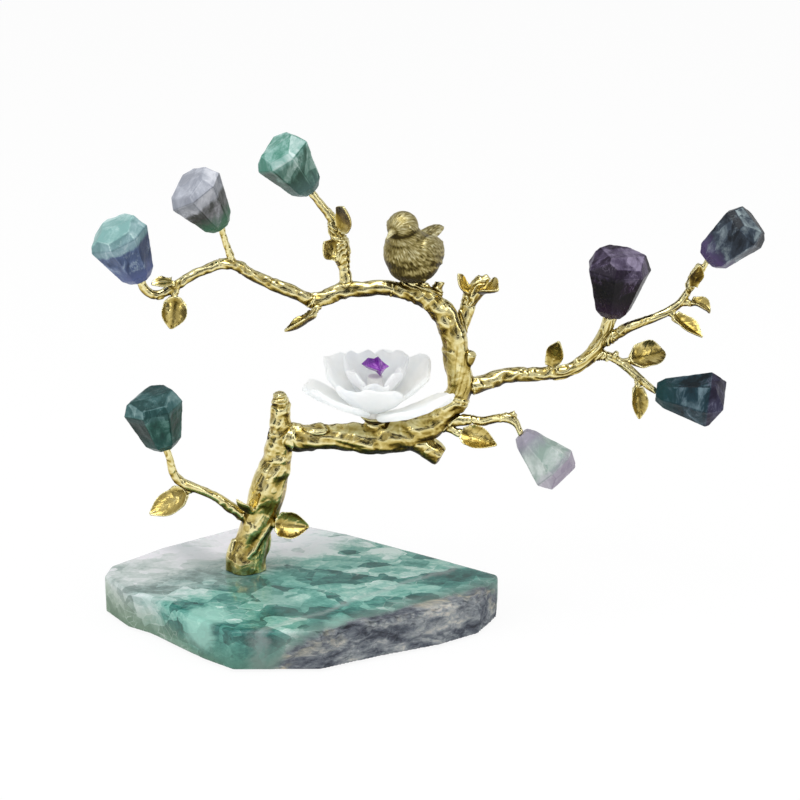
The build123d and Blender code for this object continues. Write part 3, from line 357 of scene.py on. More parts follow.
# Each limb's radius at its root, how many turns its bark winds, and its middle line in millimetres.
limbs = {
    "trunk": (11.2, 0.03, [
        (-31.4, 11, 24.5), (-30.2, 11, 33.6), (-27.5, 11, 42), (-24.7, 11, 51.7), (-21.2, 11, 61),
        (-18.1, 11, 72), (-14.7, 11, 83.6), (-12.2, 11, 95.3), (-10.8, 11, 105.4), (-10, 11, 115),
        (-10.2, 11, 124.6), (-11, 11, 131),
    ]),
    "main_bough": (7.8, 0.045, [
        (-2.5, 10, 105), (5.5, 9, 104.3), (19.8, 8, 106), (31.4, 7, 105.5), (42, 6.5, 105.7),
        (60, 6, 108.7), (72.4, 6, 115), (80.5, 6.2, 123), (86.7, 6.5, 129.4),
    ]),
    "upright_limb": (7.3, 0.04, [
        (86.7, 6.5, 129.4), (88.5, 7, 135.7), (88, 7, 143.3), (86.7, 7, 151), (85.6, 7, 159.7),
        (83.8, 7, 168.6), (80, 7.3, 176.8), (74, 8, 183.8), (68, 8, 188), (62, 8, 190), (51, 8, 192.6),
    ]),
    "arch_limb": (4.3, 0.05, [
        (51, 8, 192.6), (44.5, 8, 193), (36.3, 8, 192.5), (27, 8, 192), (20, 7, 189.8), (14, 6, 187.5),
        (8, 5, 186.7),
    ]),
    "outer_arch_limb": (4.3, 0.05, [
        (8, 5, 186.7), (0, 4, 191), (-12, 3, 196.6), (-22.3, 2, 201.6), (-28.7, 1, 206.3),
        (-34.2, 0, 209.2), (-41.6, -1, 209.2),
    ]),
    "left_tip_twig": (2.9, 0.06, [
        (-41.6, -1, 209.2), (-46.4, -2, 207.4), (-56, -4, 203.5), (-63.8, -5.5, 198.8),
        (-70.3, -7, 195.4), (-76, -8.5, 195), (-80.4, -9.5, 198.7), (-82, -10, 204),
    ]),
    "upper_left_stem": (2.2, 0.06, [
        (-34.7, -0.3, 213), (-36.6, -1, 219.4), (-38, -1.7, 224.8), (-39, -2.7, 229.8),
    ]),
    "top_twig": (3.3, 0.05, [
        (26.4, 8.6, 197), (25.3, 10, 205.8), (24, 11, 213.6), (22.7, 12, 221), (20.4, 12.3, 228),
        (16, 13, 235), (11.3, 13, 241), (7.8, 13, 245.7),
    ]),
    "low_left_twig": (3.6, 0.05, [
        (-33.6, 8, 58.8), (-42.6, 5, 67.7), (-50.5, 2, 74), (-58.3, -1, 79), (-65, -3, 83),
        (-69, -4, 89), (-70.4, -5, 97), (-72.8, -6, 105.5),
    ]),
    "right_limb": (4.9, 0.05, [
        (96.4, 8.4, 136), (105, 11, 138), (115, 13, 140), (126, 15, 140), (137, 17, 140),
        (150, 19, 142), (158, 19, 148.6), (164, 19, 156.7), (168, 19, 165), (170, 19, 172.8),
    ]),
    "right_upper_twig": (3.0, 0.06, [
        (173.2, 14.5, 163.5), (182.3, 9, 171), (190, 7.5, 174.8), (199, 7.5, 179.3), (205.6, 8, 184),
        (209.3, 8, 190.5), (213.4, 8, 197.7), (217, 8, 204), (219, 8, 208.5),
    ]),
    "right_lower_twig": (2.6, 0.06, [
        (173.6, 16, 151), (181, 14, 147.6), (189.3, 11, 141.5), (195.7, 9, 136.3), (200, 8, 133),
    ]),
    "bottom_right_twig": (2.8, 0.06, [
        (92.6, 1.4, 118.8), (101, -2.7, 120), (108, -5.5, 122), (113.4, -7.5, 122), (117, -8.7, 119),
        (119, -9.7, 114.6),
    ]),
    "bud_twig": (4.0, 0.06, [
        (93, 13.7, 184.7), (96, 14.7, 189.3), (98, 15.7, 193.5), (101.4, 15.7, 197.6),
        (104.6, 15.7, 200.4),
    ]),
}


class Route:
    """A limb's middle line at close stations, with two directions across it that don't spin."""

    def __init__(self, points):
        points = [Vector(point) for point in points]
        ends = [points[0] * 2 - points[1]] + points + [points[-1] * 2 - points[-2]]
        self.points = []
        for before, start, end, after in zip(ends, ends[1:], ends[2:], ends[3:]):
            steps = max(2, round((end - start).length / route_step))
            for step in range(steps):
                t = step / steps
                self.points.append(
                    start + (end - before) * (t / 2)
                    + (before * 2 - start * 5 + end * 4 - after) * (t * t / 2)
                    + (start * 3 - before - end * 3 + after) * (t * t * t / 2)
                )
        self.points.append(points[-1])
        self.ways = [(b - a).normalized() for a, b in zip(self.points, self.points[1:])]
        self.ways.append(self.ways[-1])
        self.lengths = [0.0]
        for a, b in zip(self.points, self.points[1:]):
            self.lengths.append(self.lengths[-1] + (b - a).length)
        side = self.ways[0].cross(Vector((0, 1, 0))).normalized()
        self.sides = []
        for way in self.ways:
            side = (side - way * side.dot(way)).normalized()
            self.sides.append(side)

    def around(self, share, angle, radius):
        """A point beside the limb: how far along it, how far round it and how far out."""
        at = min(len(self.points) - 1, int(share * (len(self.points) - 1)))
        side = self.sides[at]
        other = self.ways[at].cross(side)
        return self.points[at] + (side * math.cos(angle) + other * math.sin(angle)) * radius


def rod(points, radii, sides=10):
    """A closed round bar along some points, in millimetres, with a radius at each."""
    route = [Vector(point) for point in points]
    shape = bmesh.new()
    side = None
    rings = []
    for at, (point, radius) in enumerate(zip(route, radii)):
        way = (route[min(at + 1, len(route) - 1)] - route[max(at - 1, 0)]).normalized()
        side = way.orthogonal() if side is None else side - way * side.dot(way)
        side.normalize()
        other = way.cross(side)
        rings.append([
            shape.verts.new((point + (side * math.cos(turn) + other * math.sin(turn)) * radius) * mm)
            for turn in (math.tau * step / sides for step in range(sides))
        ])
    for low, high in zip(rings, rings[1:]):
        for a, b, c, d in zip(low, low[1:] + low[:1], high[1:] + high[:1], high):
            shape.faces.new((a, b, c, d))
    shape.faces.new(rings[0][::-1])
    shape.faces.new(rings[-1])
    mesh = bpy.data.meshes.new("rod")
    shape.to_mesh(mesh)
    shape.free()
    return mesh


def lump(centre, radii, turn=Matrix.Identity(3)):
    """A closed egg-shaped lump, in millimetres, turned as given."""
    shape = bmesh.new()
    scale = Matrix.Diagonal([radius * mm for radius in radii])
    place = Matrix.Translation(Vector(centre) * mm) @ (turn @ scale).to_4x4()
    bmesh.ops.create_icosphere(shape, subdivisions=4, radius=1.0, matrix=place)
    mesh = bpy.data.meshes.new("lump")
    shape.to_mesh(mesh)
    shape.free()
    return mesh


def hollow_wash_and_underside_shade(places, outward, edges):
    """How much dark wash stays at each point, little on a crest and much in a furrow, and how much painted
    shade darkens it where it faces down.
    """
    furrow = 0.20 * mm
    valley = 0.60 * mm
    near = ((relax(places, edges, 6) - places) * outward).sum(axis=1) / furrow
    wide = ((relax(places, edges, 30) - places) * outward).sum(axis=1) / valley
    # Painted shade: the more a point faces down, the darker it is painted, as if shaded from the light above.
    painted_underside_shade = np.clip(-1.5 * outward[:, 2], 0, 1)
    return np.clip(0.24 + 0.16 * near + 0.40 * wide + 0.56 * painted_underside_shade, 0, 1)


def grow_bark(piece, route, seed, twist):
    """Raise bark on a smooth limb: lumps, long soft ridges, a few cracks, thin flakes and pits."""
    places, outward, edges = read_skin(piece)
    places = relax(places, edges, 6)
    nearest = kdtree.KDTree(len(route.points))
    for at, point in enumerate(route.points):
        nearest.insert(point, at)
    nearest.balance()
    shift = Vector((seed * 17.3, seed * 5.1, seed * 11.7))
    heights = np.zeros(len(places))
    for index, place in enumerate(places):
        spot = Vector(place) / mm
        at = nearest.find(spot)[1]
        offset = spot - route.points[at]
        way = route.ways[at]
        run = route.lengths[at] + offset.dot(way)
        across = offset.dot(route.sides[at])
        over = offset.dot(way.cross(route.sides[at]))
        girth = min(9.0, math.hypot(across, over))
        turn = run * twist * math.tau / girth if girth > 0.5 else 0
        u = across * math.cos(turn) + over * math.sin(turn)
        v = over * math.cos(turn) - across * math.sin(turn)
        size = min(1.0, max(0.0, (girth - 1.5) / 4.5))
        bulge = noise.noise(spot / (girth * 1.1 + 2.5) + shift)
        ridges = noise.noise(Vector((u, v, run / 4.5)) / (1.7 + girth * 0.34) + shift)
        crack = noise.noise(Vector((u, v, run / 5.0)) / (1.4 + girth * 0.30) - shift)
        broken = min(1.0, max(0.0, noise.noise(spot / 9.0 - shift) * 4 + 0.5))
        plate = noise.noise(spot / (2.2 + girth * 0.25) + shift * 2)
        pit = noise.noise(spot / pit_size + shift)
        heights[index] = (
            girth * bulge_share * bulge
            + size * ridge_height * ridges * 2
            - size * crack_depth * broken * math.exp(-(crack / crack_width) ** 2)
            + size * flake_depth * max(-0.5, min(0.5, plate * 5))
            - pit_depth * (0.4 + size) * max(0.0, pit * 2 - 0.15)
        )
    places = places + outward * (heights * mm)[:, None]
    return relax(places, edges, 1), edges


def finish_casting(piece, places, edges, material, slot, *replaced, wash_with_underside_shade=1.0):
    """Write a casting's points, mark its hollows for the dark wash and its undersides for painted shade, and
    dress it.
    """
    write_skin(piece, places)
    places, outward, _ = read_skin(piece)
    mark(piece, "hollow_wash_and_shade", hollow_wash_and_underside_shade(places, outward, edges) * wash_with_underside_shade)
    dress(piece, material, slot, *replaced)


# Cast brass, polished and lacquered: bright straw gold on the crests, and olive brown where the wash lies in
# the hollows, which also dulls it. The same brown on the undersides is painted shade.
cast_brass, tree, shader, spot = start_material("cast_brass_lacquered", Metallic=1.0)
hollow_wash_and_shade = node(tree, "Attribute", attribute_name="hollow_wash_and_shade").outputs["Fac"]
cloud = node(tree, "TexNoise", {"Vector": spot, "Scale": 1 / wash_cloud_size, "Detail": 5.0,
                                "Roughness": 0.6})
speck = node(tree, "TexNoise", {"Vector": spot, "Scale": 1 / wash_speck_size, "Detail": 3.0})
wash_with_underside_shade = node(tree, "Math", {0: cloud.outputs["Fac"], 1: 0.45, 2: hollow_wash_and_shade}, operation="MULTIPLY_ADD")
wash_with_underside_shade = node(tree, "Math", {0: speck.outputs["Fac"], 1: 0.12, 2: wash_with_underside_shade.outputs[0]}, operation="MULTIPLY_ADD")
brass_tone = node(tree, "ValToRGB", {0: wash_with_underside_shade.outputs[0]}, stops=(
    (0.36, linear("e6dca6")), (0.51, linear("c4b16c")), (0.65, linear("97823d")), (0.80, linear("604d1d")),
    (1.0, linear("2b210a")),
))
tree.links.new(brass_tone.outputs[0], shader.inputs["Base Color"])
dull = node(tree, "MapRange", {0: wash_with_underside_shade.outputs[0], 1: 0.45, 2: 1.05, 3: 0.16, 4: 0.50})
tree.links.new(dull.outputs[0], shader.inputs["Roughness"])
grit = node(tree, "TexNoise", {"Vector": spot, "Scale": 1 / grit_size, "Detail": 4.0})
grit_bump = node(tree, "Bump", {"Height": grit.outputs["Fac"], "Distance": 0.06 * mm, "Strength": 0.4})
tree.links.new(grit_bump.outputs[0], shader.inputs["Normal"])

routes = {name: Route(points) for name, (_, _, points) in limbs.items()}

# Strands of bark that wind over a limb: between which shares of its length, between which angles
# round it, how far out and how thick.
strands = {
    "main_bough": [(0.44, 0.80, 3.5, 6.3, 7.3, 1.8), (0.52, 0.88, 3.3, 5.9, 7.3, 1.6),
                   (0.60, 0.94, 3.1, 5.6, 7.1, 1.5), (0.10, 0.62, 4.5, 4.1, 6.3, 1.5)],
    "trunk": [(0.00, 0.36, 1.2, 2.6, 8.2, 2.6), (0.02, 0.40, 4.4, 3.4, 8.0, 2.4),
              (0.30, 0.78, 5.6, 4.4, 6.6, 2.0), (0.05, 0.30, 3.0, 3.9, 8.6, 2.2)],
    "upright_limb": [(0.02, 0.40, 3.6, 4.9, 5.6, 1.5)],
}

# Swellings, each a run of points and its radii: where leaves sheathe a twig, and the bird's perch.
pin_low, pin_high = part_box("bird_pin")
perch = (pin_low + pin_high) / (2 * mm)
swellings = {
    "top_twig": (
        [(26, 9, 200), (25.2, 10, 206), (24, 11, 212), (22.8, 11.5, 217), (21.6, 12, 222), (19, 12.6, 229)],
        (2.6, 3.7, 5.0, 6.0, 4.0, 3.0)),
    "bud_twig": ([(92, 13.5, 181), (95, 14.3, 186.5), (98.5, 15, 191.5), (101, 15.5, 196)],
                 (4.2, 5.2, 5.2, 3.6)),
    "right_upper_twig": ([(211, 8, 193), (214.5, 8, 200), (217.5, 8, 206)], (2.6, 3.4, 2.6)),
    "upright_limb": ([
        perch + Vector(offset) for offset in ((-11, 0, -5.6), (-4, 0, -3.2), (5, 0, -3.6), (12, 0, -8.0))
    ], (2.6, 3.6, 3.9, 3.0)),
}

# The oval scar on the bough beside the trunk, where a branch was cut from it.
scar_place = (9.5, 5.0, 112.0)
scar_radii = (8.2, 4.6, 1.6)
scar_lean = 0.32

for seed, (name, (root_radius, twist, _)) in enumerate(limbs.items()):
    route = routes[name]
    shapes = [nodes[name].data]
    if name != "trunk":
        knuckle = root_radius * knuckle_share
        turn = route.ways[0].to_track_quat("Z", "Y").to_matrix()
        shapes.append(lump(route.points[0], (knuckle, knuckle, root_radius * 0.7), turn))
    for start, end, turn_from, turn_to, reach, thickness in strands.get(name, ()):
        shares = [step / strand_steps for step in range(strand_steps + 1)]
        line = [
            route.around(start + (end - start) * share, turn_from + (turn_to - turn_from) * share, reach)
            for share in shares
        ]
        shapes.append(rod(line, [thickness * (0.35 + 0.65 * math.sin(math.pi * share)) for share in shares]))
    if name in swellings:
        shapes.append(rod(*swellings[name]))
    if name == "main_bough":
        shapes.append(lump(scar_place, scar_radii, Matrix.Rotation(scar_lean, 3, "X")))
    piece = fuse("cast_" + name, shapes, limb_skin)
    places, edges = grow_bark(piece, route, seed, twist)
    if name == "trunk":
        places[:, 2] = np.maximum(places[:, 2], slab_high.z - 0.3 * mm)
    finish_casting(piece, places, edges, cast_brass, "cast_brass", name)

# Leaves: each cast with its stalk and brazed into a drilled spur. They fold along a midrib, and
# their edges wave as the real leaf's did when it dried.
leaf_skin = 0.32 * mm
vein_depth = 0.10
vein_width = 0.10
leaf_bins = 16

# The limb that each leaf grows on, how sharply it folds, how much it waves and its pairs of veins.
leaves = {
    "trunk_bark_leaf": ("trunk", 0.30, 0.5, 3), "trunk_bud_flake": ("trunk", 0.25, 0.5, 0),
    "low_left_leaf": ("low_left_twig", 0.35, 1.2, 5), "hanging_leaf": ("left_tip_twig", 0.3, 0.9, 4),
    "tip_bract": ("left_tip_twig", 0.3, 0.5, 0), "arch_leaf": ("arch_limb", 0.35, 0.8, 4),
    "top_curled_leaf": ("top_twig", 0.3, 1.1, 4), "top_pointed_leaf": ("top_twig", 0.3, 0.6, 3),
    "bud_narrow_leaf": ("bud_twig", 0.3, 0.5, 3), "bud_broad_leaf": ("bud_twig", 0.3, 0.9, 3),
    "right_limb_leaf": ("right_limb", 0.35, 0.7, 4), "upper_blade_leaf": ("right_upper_twig", 0.3, 0.6, 4),
    "upper_curled_leaf": ("right_upper_twig", 0.3, 0.7, 3),
    "upper_down_leaf": ("right_upper_twig", 0.35, 1.0, 5),
    "lower_broad_leaf": ("right_lower_twig", 0.35, 1.2, 5),
    "lower_down_leaf": ("right_lower_twig", 0.3, 0.8, 4),
    "bottom_right_leaf": ("main_bough", 0.4, 1.3, 5),
}


def shape_leaf(places, route, fold, wave, veins, seed):
    """Fold a plain blade along its midrib, wave its edges, swell its stalk and press its veins."""
    spots = places / mm
    line = np.array([tuple(point) for point in route.points])
    distance = np.array([np.min(((line - spot) ** 2).sum(axis=1)) for spot in spots])
    root = spots[distance.argmin()]
    tip = spots[((spots - root) ** 2).sum(axis=1).argmax()]
    length = np.linalg.norm(tip - root)
    axis = (tip - root) / length
    along = np.clip((spots - root) @ axis / length, 0, 1)
    index = np.minimum((along * leaf_bins).astype(int), leaf_bins - 1)
    middles = np.array([
        spots[index == at].mean(axis=0) if (index == at).any()
        else root + axis * length * (at + 0.5) / leaf_bins
        for at in range(leaf_bins)
    ])
    knots = (np.arange(leaf_bins) + 0.5) / leaf_bins
    centre = np.stack([np.interp(along, knots, middles[:, dim]) for dim in range(3)], axis=1)
    away = spots - centre
    blade = along > 0.25
    spread = np.linalg.svd(away[blade], full_matrices=False)[2]
    across = spread[0] - axis * (spread[0] @ axis)
    across /= np.linalg.norm(across)
    normal = np.cross(axis, across)
    out = away @ across
    widths = np.array([
        np.abs(out[index == at]).max() if (index == at).any() else 1.0 for at in range(leaf_bins)
    ])
    share = np.clip(np.abs(out) / np.interp(along, knots, widths), 0, 1)
    fade = np.clip((along - 0.14) / 0.25, 0, 1)
    side = np.sign(out)
    ripple = np.sin(along * 9.0 + side * 1.3 + seed) * 0.6
    ripple = ripple + np.sin(along * 14.0 + side * 2.1 + seed * 2) * 0.08
    lift = fold * np.abs(out) * 0.8 + wave * 0.7 * share ** 2 * ripple
    stout = np.exp(-((along - 0.16) / 0.15) ** 2) * 0.9
    moved = spots + normal * (lift * fade)[:, None] + (away - axis * (away @ axis)[:, None]) * stout[:, None]
    rib = np.exp(-(share / vein_width) ** 2)
    comb = np.zeros(len(spots))
    if veins:
        phase = (along * 1.1 - share * 0.28) * veins
        comb = np.exp(-((phase - np.round(phase)) / vein_width) ** 2) * (1 - share ** 4)
    press = -(rib * 1.6 + comb) * vein_depth * fade
    face = np.sign(away @ normal)
    return moved * mm, (press * np.where(face > 0, 1.0, -0.7)) * mm


for seed, (name, (limb, fold, wave, veins)) in enumerate(leaves.items()):
    piece = fuse("cast_" + name, [nodes[name].data], leaf_skin)
    places, outward, edges = read_skin(piece)
    places = relax(places, edges, 3)
    places, press = shape_leaf(places, routes[limb], fold, wave, veins, seed)
    places = places + outward * press[:, None]
    finish_casting(piece, relax(places, edges, 1), edges, cast_brass, "cast_brass", name, wash_with_underside_shade=0.95)

# Flower: a brass calyx brazed on the bough holds a white resin plug, and the petals are glued round
# it. They are carved from white stone and frosted in acid, which scatters the light softly.
petal_skin = 0.5 * mm
petal_grid = 28
petal_root = 4.5
petal_foot = 5.0
milk_size = 13.0 * mm
frost_size = 1.4 * mm
swirl_size = 5.0 * mm

# Each petal's height on the plug, its direction in degrees, its length and width, its tilt at root
# and tip, how far it swings aside, and its thickness.
petals = {
    "petal_left": (2.2, 209, 43, 54, 18, 40, 0, 3.2),
    "petal_low_right": (1.4, 306, 46, 42, 13, 33, 22, 4.0),
    "petal_back": (2.2, 92, 37, 50, 26, 54, 0, 2.6),
    "petal_front": (4.0, 258, 33, 56, 27, 54, 0, 3.0),
    "petal_right": (4.5, 22, 37, 48, 27, 54, 0, 2.8),
    "petal_back_left": (4.5, 152, 35, 46, 30, 56, 0, 2.8),
    "petal_rear_right": (8.5, 60, 29, 36, 40, 66, 0, 2.6),
    "petal_rear_left": (8.5, 122, 29, 36, 40, 66, 0, 2.6),
    "petal_inner_left": (13.5, 203, 18, 25, 40, 68, 0, 2.4),
    "petal_inner_front": (12.5, 272, 15, 26, 34, 58, 0, 2.4),
    "petal_inner_right": (13.5, 338, 18, 25, 40, 68, 0, 2.4),
}
cup = fuse("cast_flower_cup", [nodes["flower_cup"].data], limb_skin)
places, outward, edges = read_skin(cup)
places = relax(places, edges, 4)
cup_heights = np.array([noise.noise(Vector(place) / (2.5 * mm)) for place in places]) * 0.35 * mm
finish_casting(cup, places + outward * cup_heights[:, None], edges, cast_brass, "cast_brass", "flower_cup")

core_low, core_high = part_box("flower_core")
core_foot = Vector(((core_low.x + core_high.x) / 2, (core_low.y + core_high.y) / 2, core_low.z)) / mm


def carve_petal(tier, azimuth, length, width, tilt_start, tilt_end, swing, thickness, seed):
    """A closed petal: a piece of a bowl from the plug outwards, with a wavy rim and blunt edges."""
    shape = bmesh.new()
    bend = math.radians(tilt_end - tilt_start)
    lean = math.radians(tilt_start)
    arc = length / bend
    layers = []
    for face in (1, -1):
        rows = []
        for row in range(petal_grid + 1):
            along = row / petal_grid
            half = petal_foot + (width / 2 - petal_foot) * math.sin(min(1.0, along * 1.5) * math.pi / 2)
            half *= math.sqrt(max(0.0, 1 - max(0.0, (along - 0.62) / 0.38) ** 2.6)) * 0.88 + 0.12
            cells = []
            for column in range(petal_grid + 1):
                across = 2 * column / petal_grid - 1
                side = across * half
                aside = 2 * side / width
                reach = along + 0.05 * math.sin(aside * 4.0 + seed * 1.7) * along ** 3
                reach -= 0.035 * math.cos(aside * 9.0 + seed * 2.9) * along ** 4
                tilt = lean + bend * reach
                out = petal_root + arc * (math.sin(tilt) - math.sin(lean))
                up = tier + arc * (math.cos(lean) - math.cos(tilt))
                curl = side / (out + 6.0)
                turn = math.radians(azimuth + swing * reach) + curl
                rim = abs(aside) ** 3 * along
                ruffle = math.sin(aside * 5.0 + seed * 2.3) * 1.3 * along ** 2 + rim * 1.6
                edge = min(1.0, (1 - abs(across)) * half / 2.2 + 0.22)
                edge *= min(1.0, (1 - along) * length / 3 + 0.22)
                shift = face * thickness / 2 * math.sqrt(edge) + ruffle
                outward = Vector((math.cos(turn), math.sin(turn), 0))
                spot = core_foot + outward * (out - math.sin(tilt) * shift)
                spot.z += up + math.cos(tilt) * shift
                cells.append(shape.verts.new(spot * mm))
            rows.append(cells)
        layers.append(rows)
    for rows, order in zip(layers, (1, -1)):
        for low, high in zip(rows, rows[1:]):
            for a, b, c, d in zip(low, low[1:], high[1:], high):
                shape.faces.new((a, b, c, d)[::order])
    upper, lower = (
        rows[0] + [row[-1] for row in rows[1:]] + rows[-1][-2::-1] + [row[0] for row in rows[-2:0:-1]]
        for rows in layers
    )
    for a, b, c, d in zip(upper, lower, lower[1:] + lower[:1], upper[1:] + upper[:1]):
        shape.faces.new((a, b, c, d))
    bmesh.ops.recalc_face_normals(shape, faces=shape.faces)
    mesh = bpy.data.meshes.new("petal")
    shape.to_mesh(mesh)
    shape.free()
    return mesh


# Frosted white stone: a dull soft white that glows a little, because thin petals let light through,
# with faint milky clouds and a fine etched grain.
frosted_stone, tree, shader, spot = start_material("frosted_white_stone", IOR=1.50, Roughness=0.62,
                                                   Subsurface_Weight=0.2,
                                                   Subsurface_Radius=(6 * mm, 6 * mm, 6.5 * mm))
milk = node(tree, "TexNoise", {"Vector": spot, "Scale": 1 / milk_size, "Detail": 5.0, "Roughness": 0.6})
milk_colour = node(tree, "ValToRGB", {0: milk.outputs["Fac"]}, stops=(
    (0.34, linear("f6f8fa")), (0.50, linear("fcfdfd")), (0.66, linear("ffffff")),
))
tree.links.new(milk_colour.outputs[0], shader.inputs["Base Color"])
let_through = node(tree, "BsdfTranslucent", {"Color": milk_colour.outputs[0]})
petal_body = node(tree, "MixShader", {0: 0.60, 1: shader.outputs[0], 2: let_through.outputs[0]})
tree.links.new(petal_body.outputs[0], tree.nodes["Material Output"].inputs["Surface"])
frost = node(tree, "TexNoise", {"Vector": spot, "Scale": 1 / frost_size, "Detail": 4.0})
frost_bump = node(tree, "Bump", {"Height": frost.outputs["Fac"], "Distance": 0.12 * mm, "Strength": 0.5})
tree.links.new(frost_bump.outputs[0], shader.inputs["Normal"])
for seed, (name, sizes) in enumerate(petals.items()):
    petal = fuse("carved_" + name, [carve_petal(*sizes, seed)], petal_skin)
    places, outward, edges = read_skin(petal)
    places = relax(places, edges, 3)
    swell = np.array([
        noise.noise(Vector(place) / (8 * mm) + Vector((seed, 0, 0))) * 1.1
        + noise.noise(Vector(place) / (3.5 * mm)) * 0.22 for place in places
    ])
    write_skin(petal, places + outward * (swell * 0.5 * mm)[:, None])
    dress(petal, frosted_stone, "white_stone", name)

# Cast resin: plain off-white with faint swirls, only just seen between the inner petals.
resin, tree, shader, spot = start_material("white_cast_resin", Roughness=0.45)
swirl = node(tree, "TexNoise", {"Vector": spot, "Scale": 1 / swirl_size, "Detail": 2.0})
swirl_colour = node(tree, "ValToRGB", {0: swirl.outputs["Fac"]},
                    stops=((0.3, linear("e4e3e0")), (0.7, linear("f1f0ee"))))
tree.links.new(swirl_colour.outputs[0], shader.inputs["Base Color"])
nodes["flower_core"].data.materials.clear()
nodes["flower_core"].data.materials.append(resin)

# Heart of the flower: a rough amethyst broken from its geode and glued on the plug.
# Its facets are flat and glassy, dark purple inside and lighter where they are thin.
zone_size = 5.0 * mm
chip_size = 1.5 * mm
heart_low, heart_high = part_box("amethyst_heart")
heart_centre = (heart_low + heart_high) / 2
heart_half = (heart_high - heart_low) / 2
heart_rim = [
    (-1.0, 0.10), (-0.52, 0.82), (-0.08, 0.62), (0.20, 0.95), (0.58, 0.28), (1.0, -0.02), (0.72, -0.42),
    (0.36, -1.0), (0.02, -0.62), (-0.55, -0.24),
]
shape = bmesh.new()
rim = [
    shape.verts.new(heart_centre + Vector((
        x * heart_half.x, 0.12 * (-1) ** at * heart_half.y, z * heart_half.z)))
    for at, (x, z) in enumerate(heart_rim)
]
for face in (-1, 1):
    left_top = shape.verts.new(heart_centre + Vector((-0.42 * heart_half.x, face * 0.8 * heart_half.y,
                                                      0.22 * heart_half.z)))
    right_top = shape.verts.new(heart_centre + Vector((0.40 * heart_half.x, face * 0.95 * heart_half.y,
                                                       -0.12 * heart_half.z)))
    for at, corner in enumerate(rim):
        after = rim[(at + 1) % len(rim)]
        top = left_top if at in (0, 1, 8, 9) else right_top
        shape.faces.new((corner, after, top)[::face])
    shape.faces.new((rim[2], right_top, left_top)[::face])
    shape.faces.new((rim[8], left_top, right_top)[::face])
bmesh.ops.recalc_face_normals(shape, faces=shape.faces)
mesh = bpy.data.meshes.new("amethyst_crystal")
shape.to_mesh(mesh)
shape.free()
heart = bpy.data.objects.new("amethyst_crystal", mesh)
bpy.context.scene.collection.objects.link(heart)

# Amethyst: quartz with deep purple growth zones that pale towards lilac, glossy where it split.
amethyst, tree, shader, spot = start_material("rough_amethyst", IOR=1.544, Roughness=0.2)
zones = node(tree, "TexNoise", {"Vector": spot, "Scale": 1 / zone_size, "Detail": 5.0, "Roughness": 0.7})
zone_colour = node(tree, "ValToRGB", {0: zones.outputs["Fac"]}, stops=(
    (0.36, linear("55177c")), (0.50, linear("7b2fa0")), (0.62, linear("b06fcc")),
))
tree.links.new(zone_colour.outputs[0], shader.inputs["Base Color"])
chips = node(tree, "TexNoise", {"Vector": spot, "Scale": 1 / chip_size, "Detail": 3.0})
chip_bump = node(tree, "Bump", {"Height": chips.outputs["Fac"], "Distance": 0.3 * mm, "Strength": 0.6})
tree.links.new(chip_bump.outputs[0], shader.inputs["Normal"])
dress(heart, amethyst, "amethyst", "amethyst_heart")

# Stones: fluorite sawn to rough blocks, tumbled, drilled and glued on the pegs at the twigs' ends.
# The tumbling leaves blunt edges and a soft gloss; each holds its own bands, veils and cracks.
stone_skin = 0.45 * mm
dent_size = 6.0 * mm
dent_depth = 0.5 * mm
stone_grain_size = 1.8 * mm
stone_grain_depth = 0.06 * mm
stone_cloud_size = 9.0 * mm
stone_shard_size = 12.0 * mm
stone_vein_size = 5.0 * mm
stone_vein_width = 0.020
worn_size = 2.4 * mm

# Each stone's finish, the way it points from its twig, how far up its crown's colour starts, three
# tones of its body and of its crown from dark to light, and the tone of its root.
stones = {
    "stone_far_left": ("fluorite_mint", (-0.40, -0.10, 0.91), 0.60,
                       ("303c57", "4f5f80", "8d9ab4"), ("779f9d", "98bab8", "c9dbda"), "55608a"),
    "stone_upper_left": ("fluorite_lilac", (-0.53, -0.14, 0.84), 0.52,
                         ("2b2c2a", "464846", "828286"), ("8a8e98", "a6aab4", "cfd1d8"), "3c6a51"),
    "stone_top": ("fluorite_green", (-0.56, -0.12, 0.82), 0.66,
                  ("294439", "4d7165", "9db4ac"), ("4a8172", "82aaa2", "c3d4d1"), "476361"),
    "stone_low_left": ("fluorite_teal", (-0.22, -0.08, 0.97), 0.62,
                       ("0e2722", "224b43", "638d84"), ("234241", "406364", "7f9a9a"), "1c433f"),
    "stone_dark_purple": ("fluorite_purple", (0.10, -0.06, 0.99), 0.66,
                          ("050206", "0d060f", "2c1733"), ("1f1627", "463d53", "857c93"), "26112a"),
    "stone_upper_right": ("fluorite_blue", (0.71, -0.05, 0.70), 0.30,
                          ("12161f", "343e4c", "8c989e"), ("161d24", "343f4a", "8c9a9d"), "4d3d66"),
    "stone_teal_right": ("fluorite_teal", (0.98, -0.15, -0.08), 0.72,
                         ("08161c", "1a343e", "667d86"), ("191428", "302f45", "7a7c91"), "183d3f"),
    "stone_pale": ("fluorite_pale", (0.70, -0.18, -0.69), 0.66,
                   ("869991", "a3b0ab", "cdd4d1"), ("8f8796", "a8a3ae", "cfccd3"), "8b8295"),
}
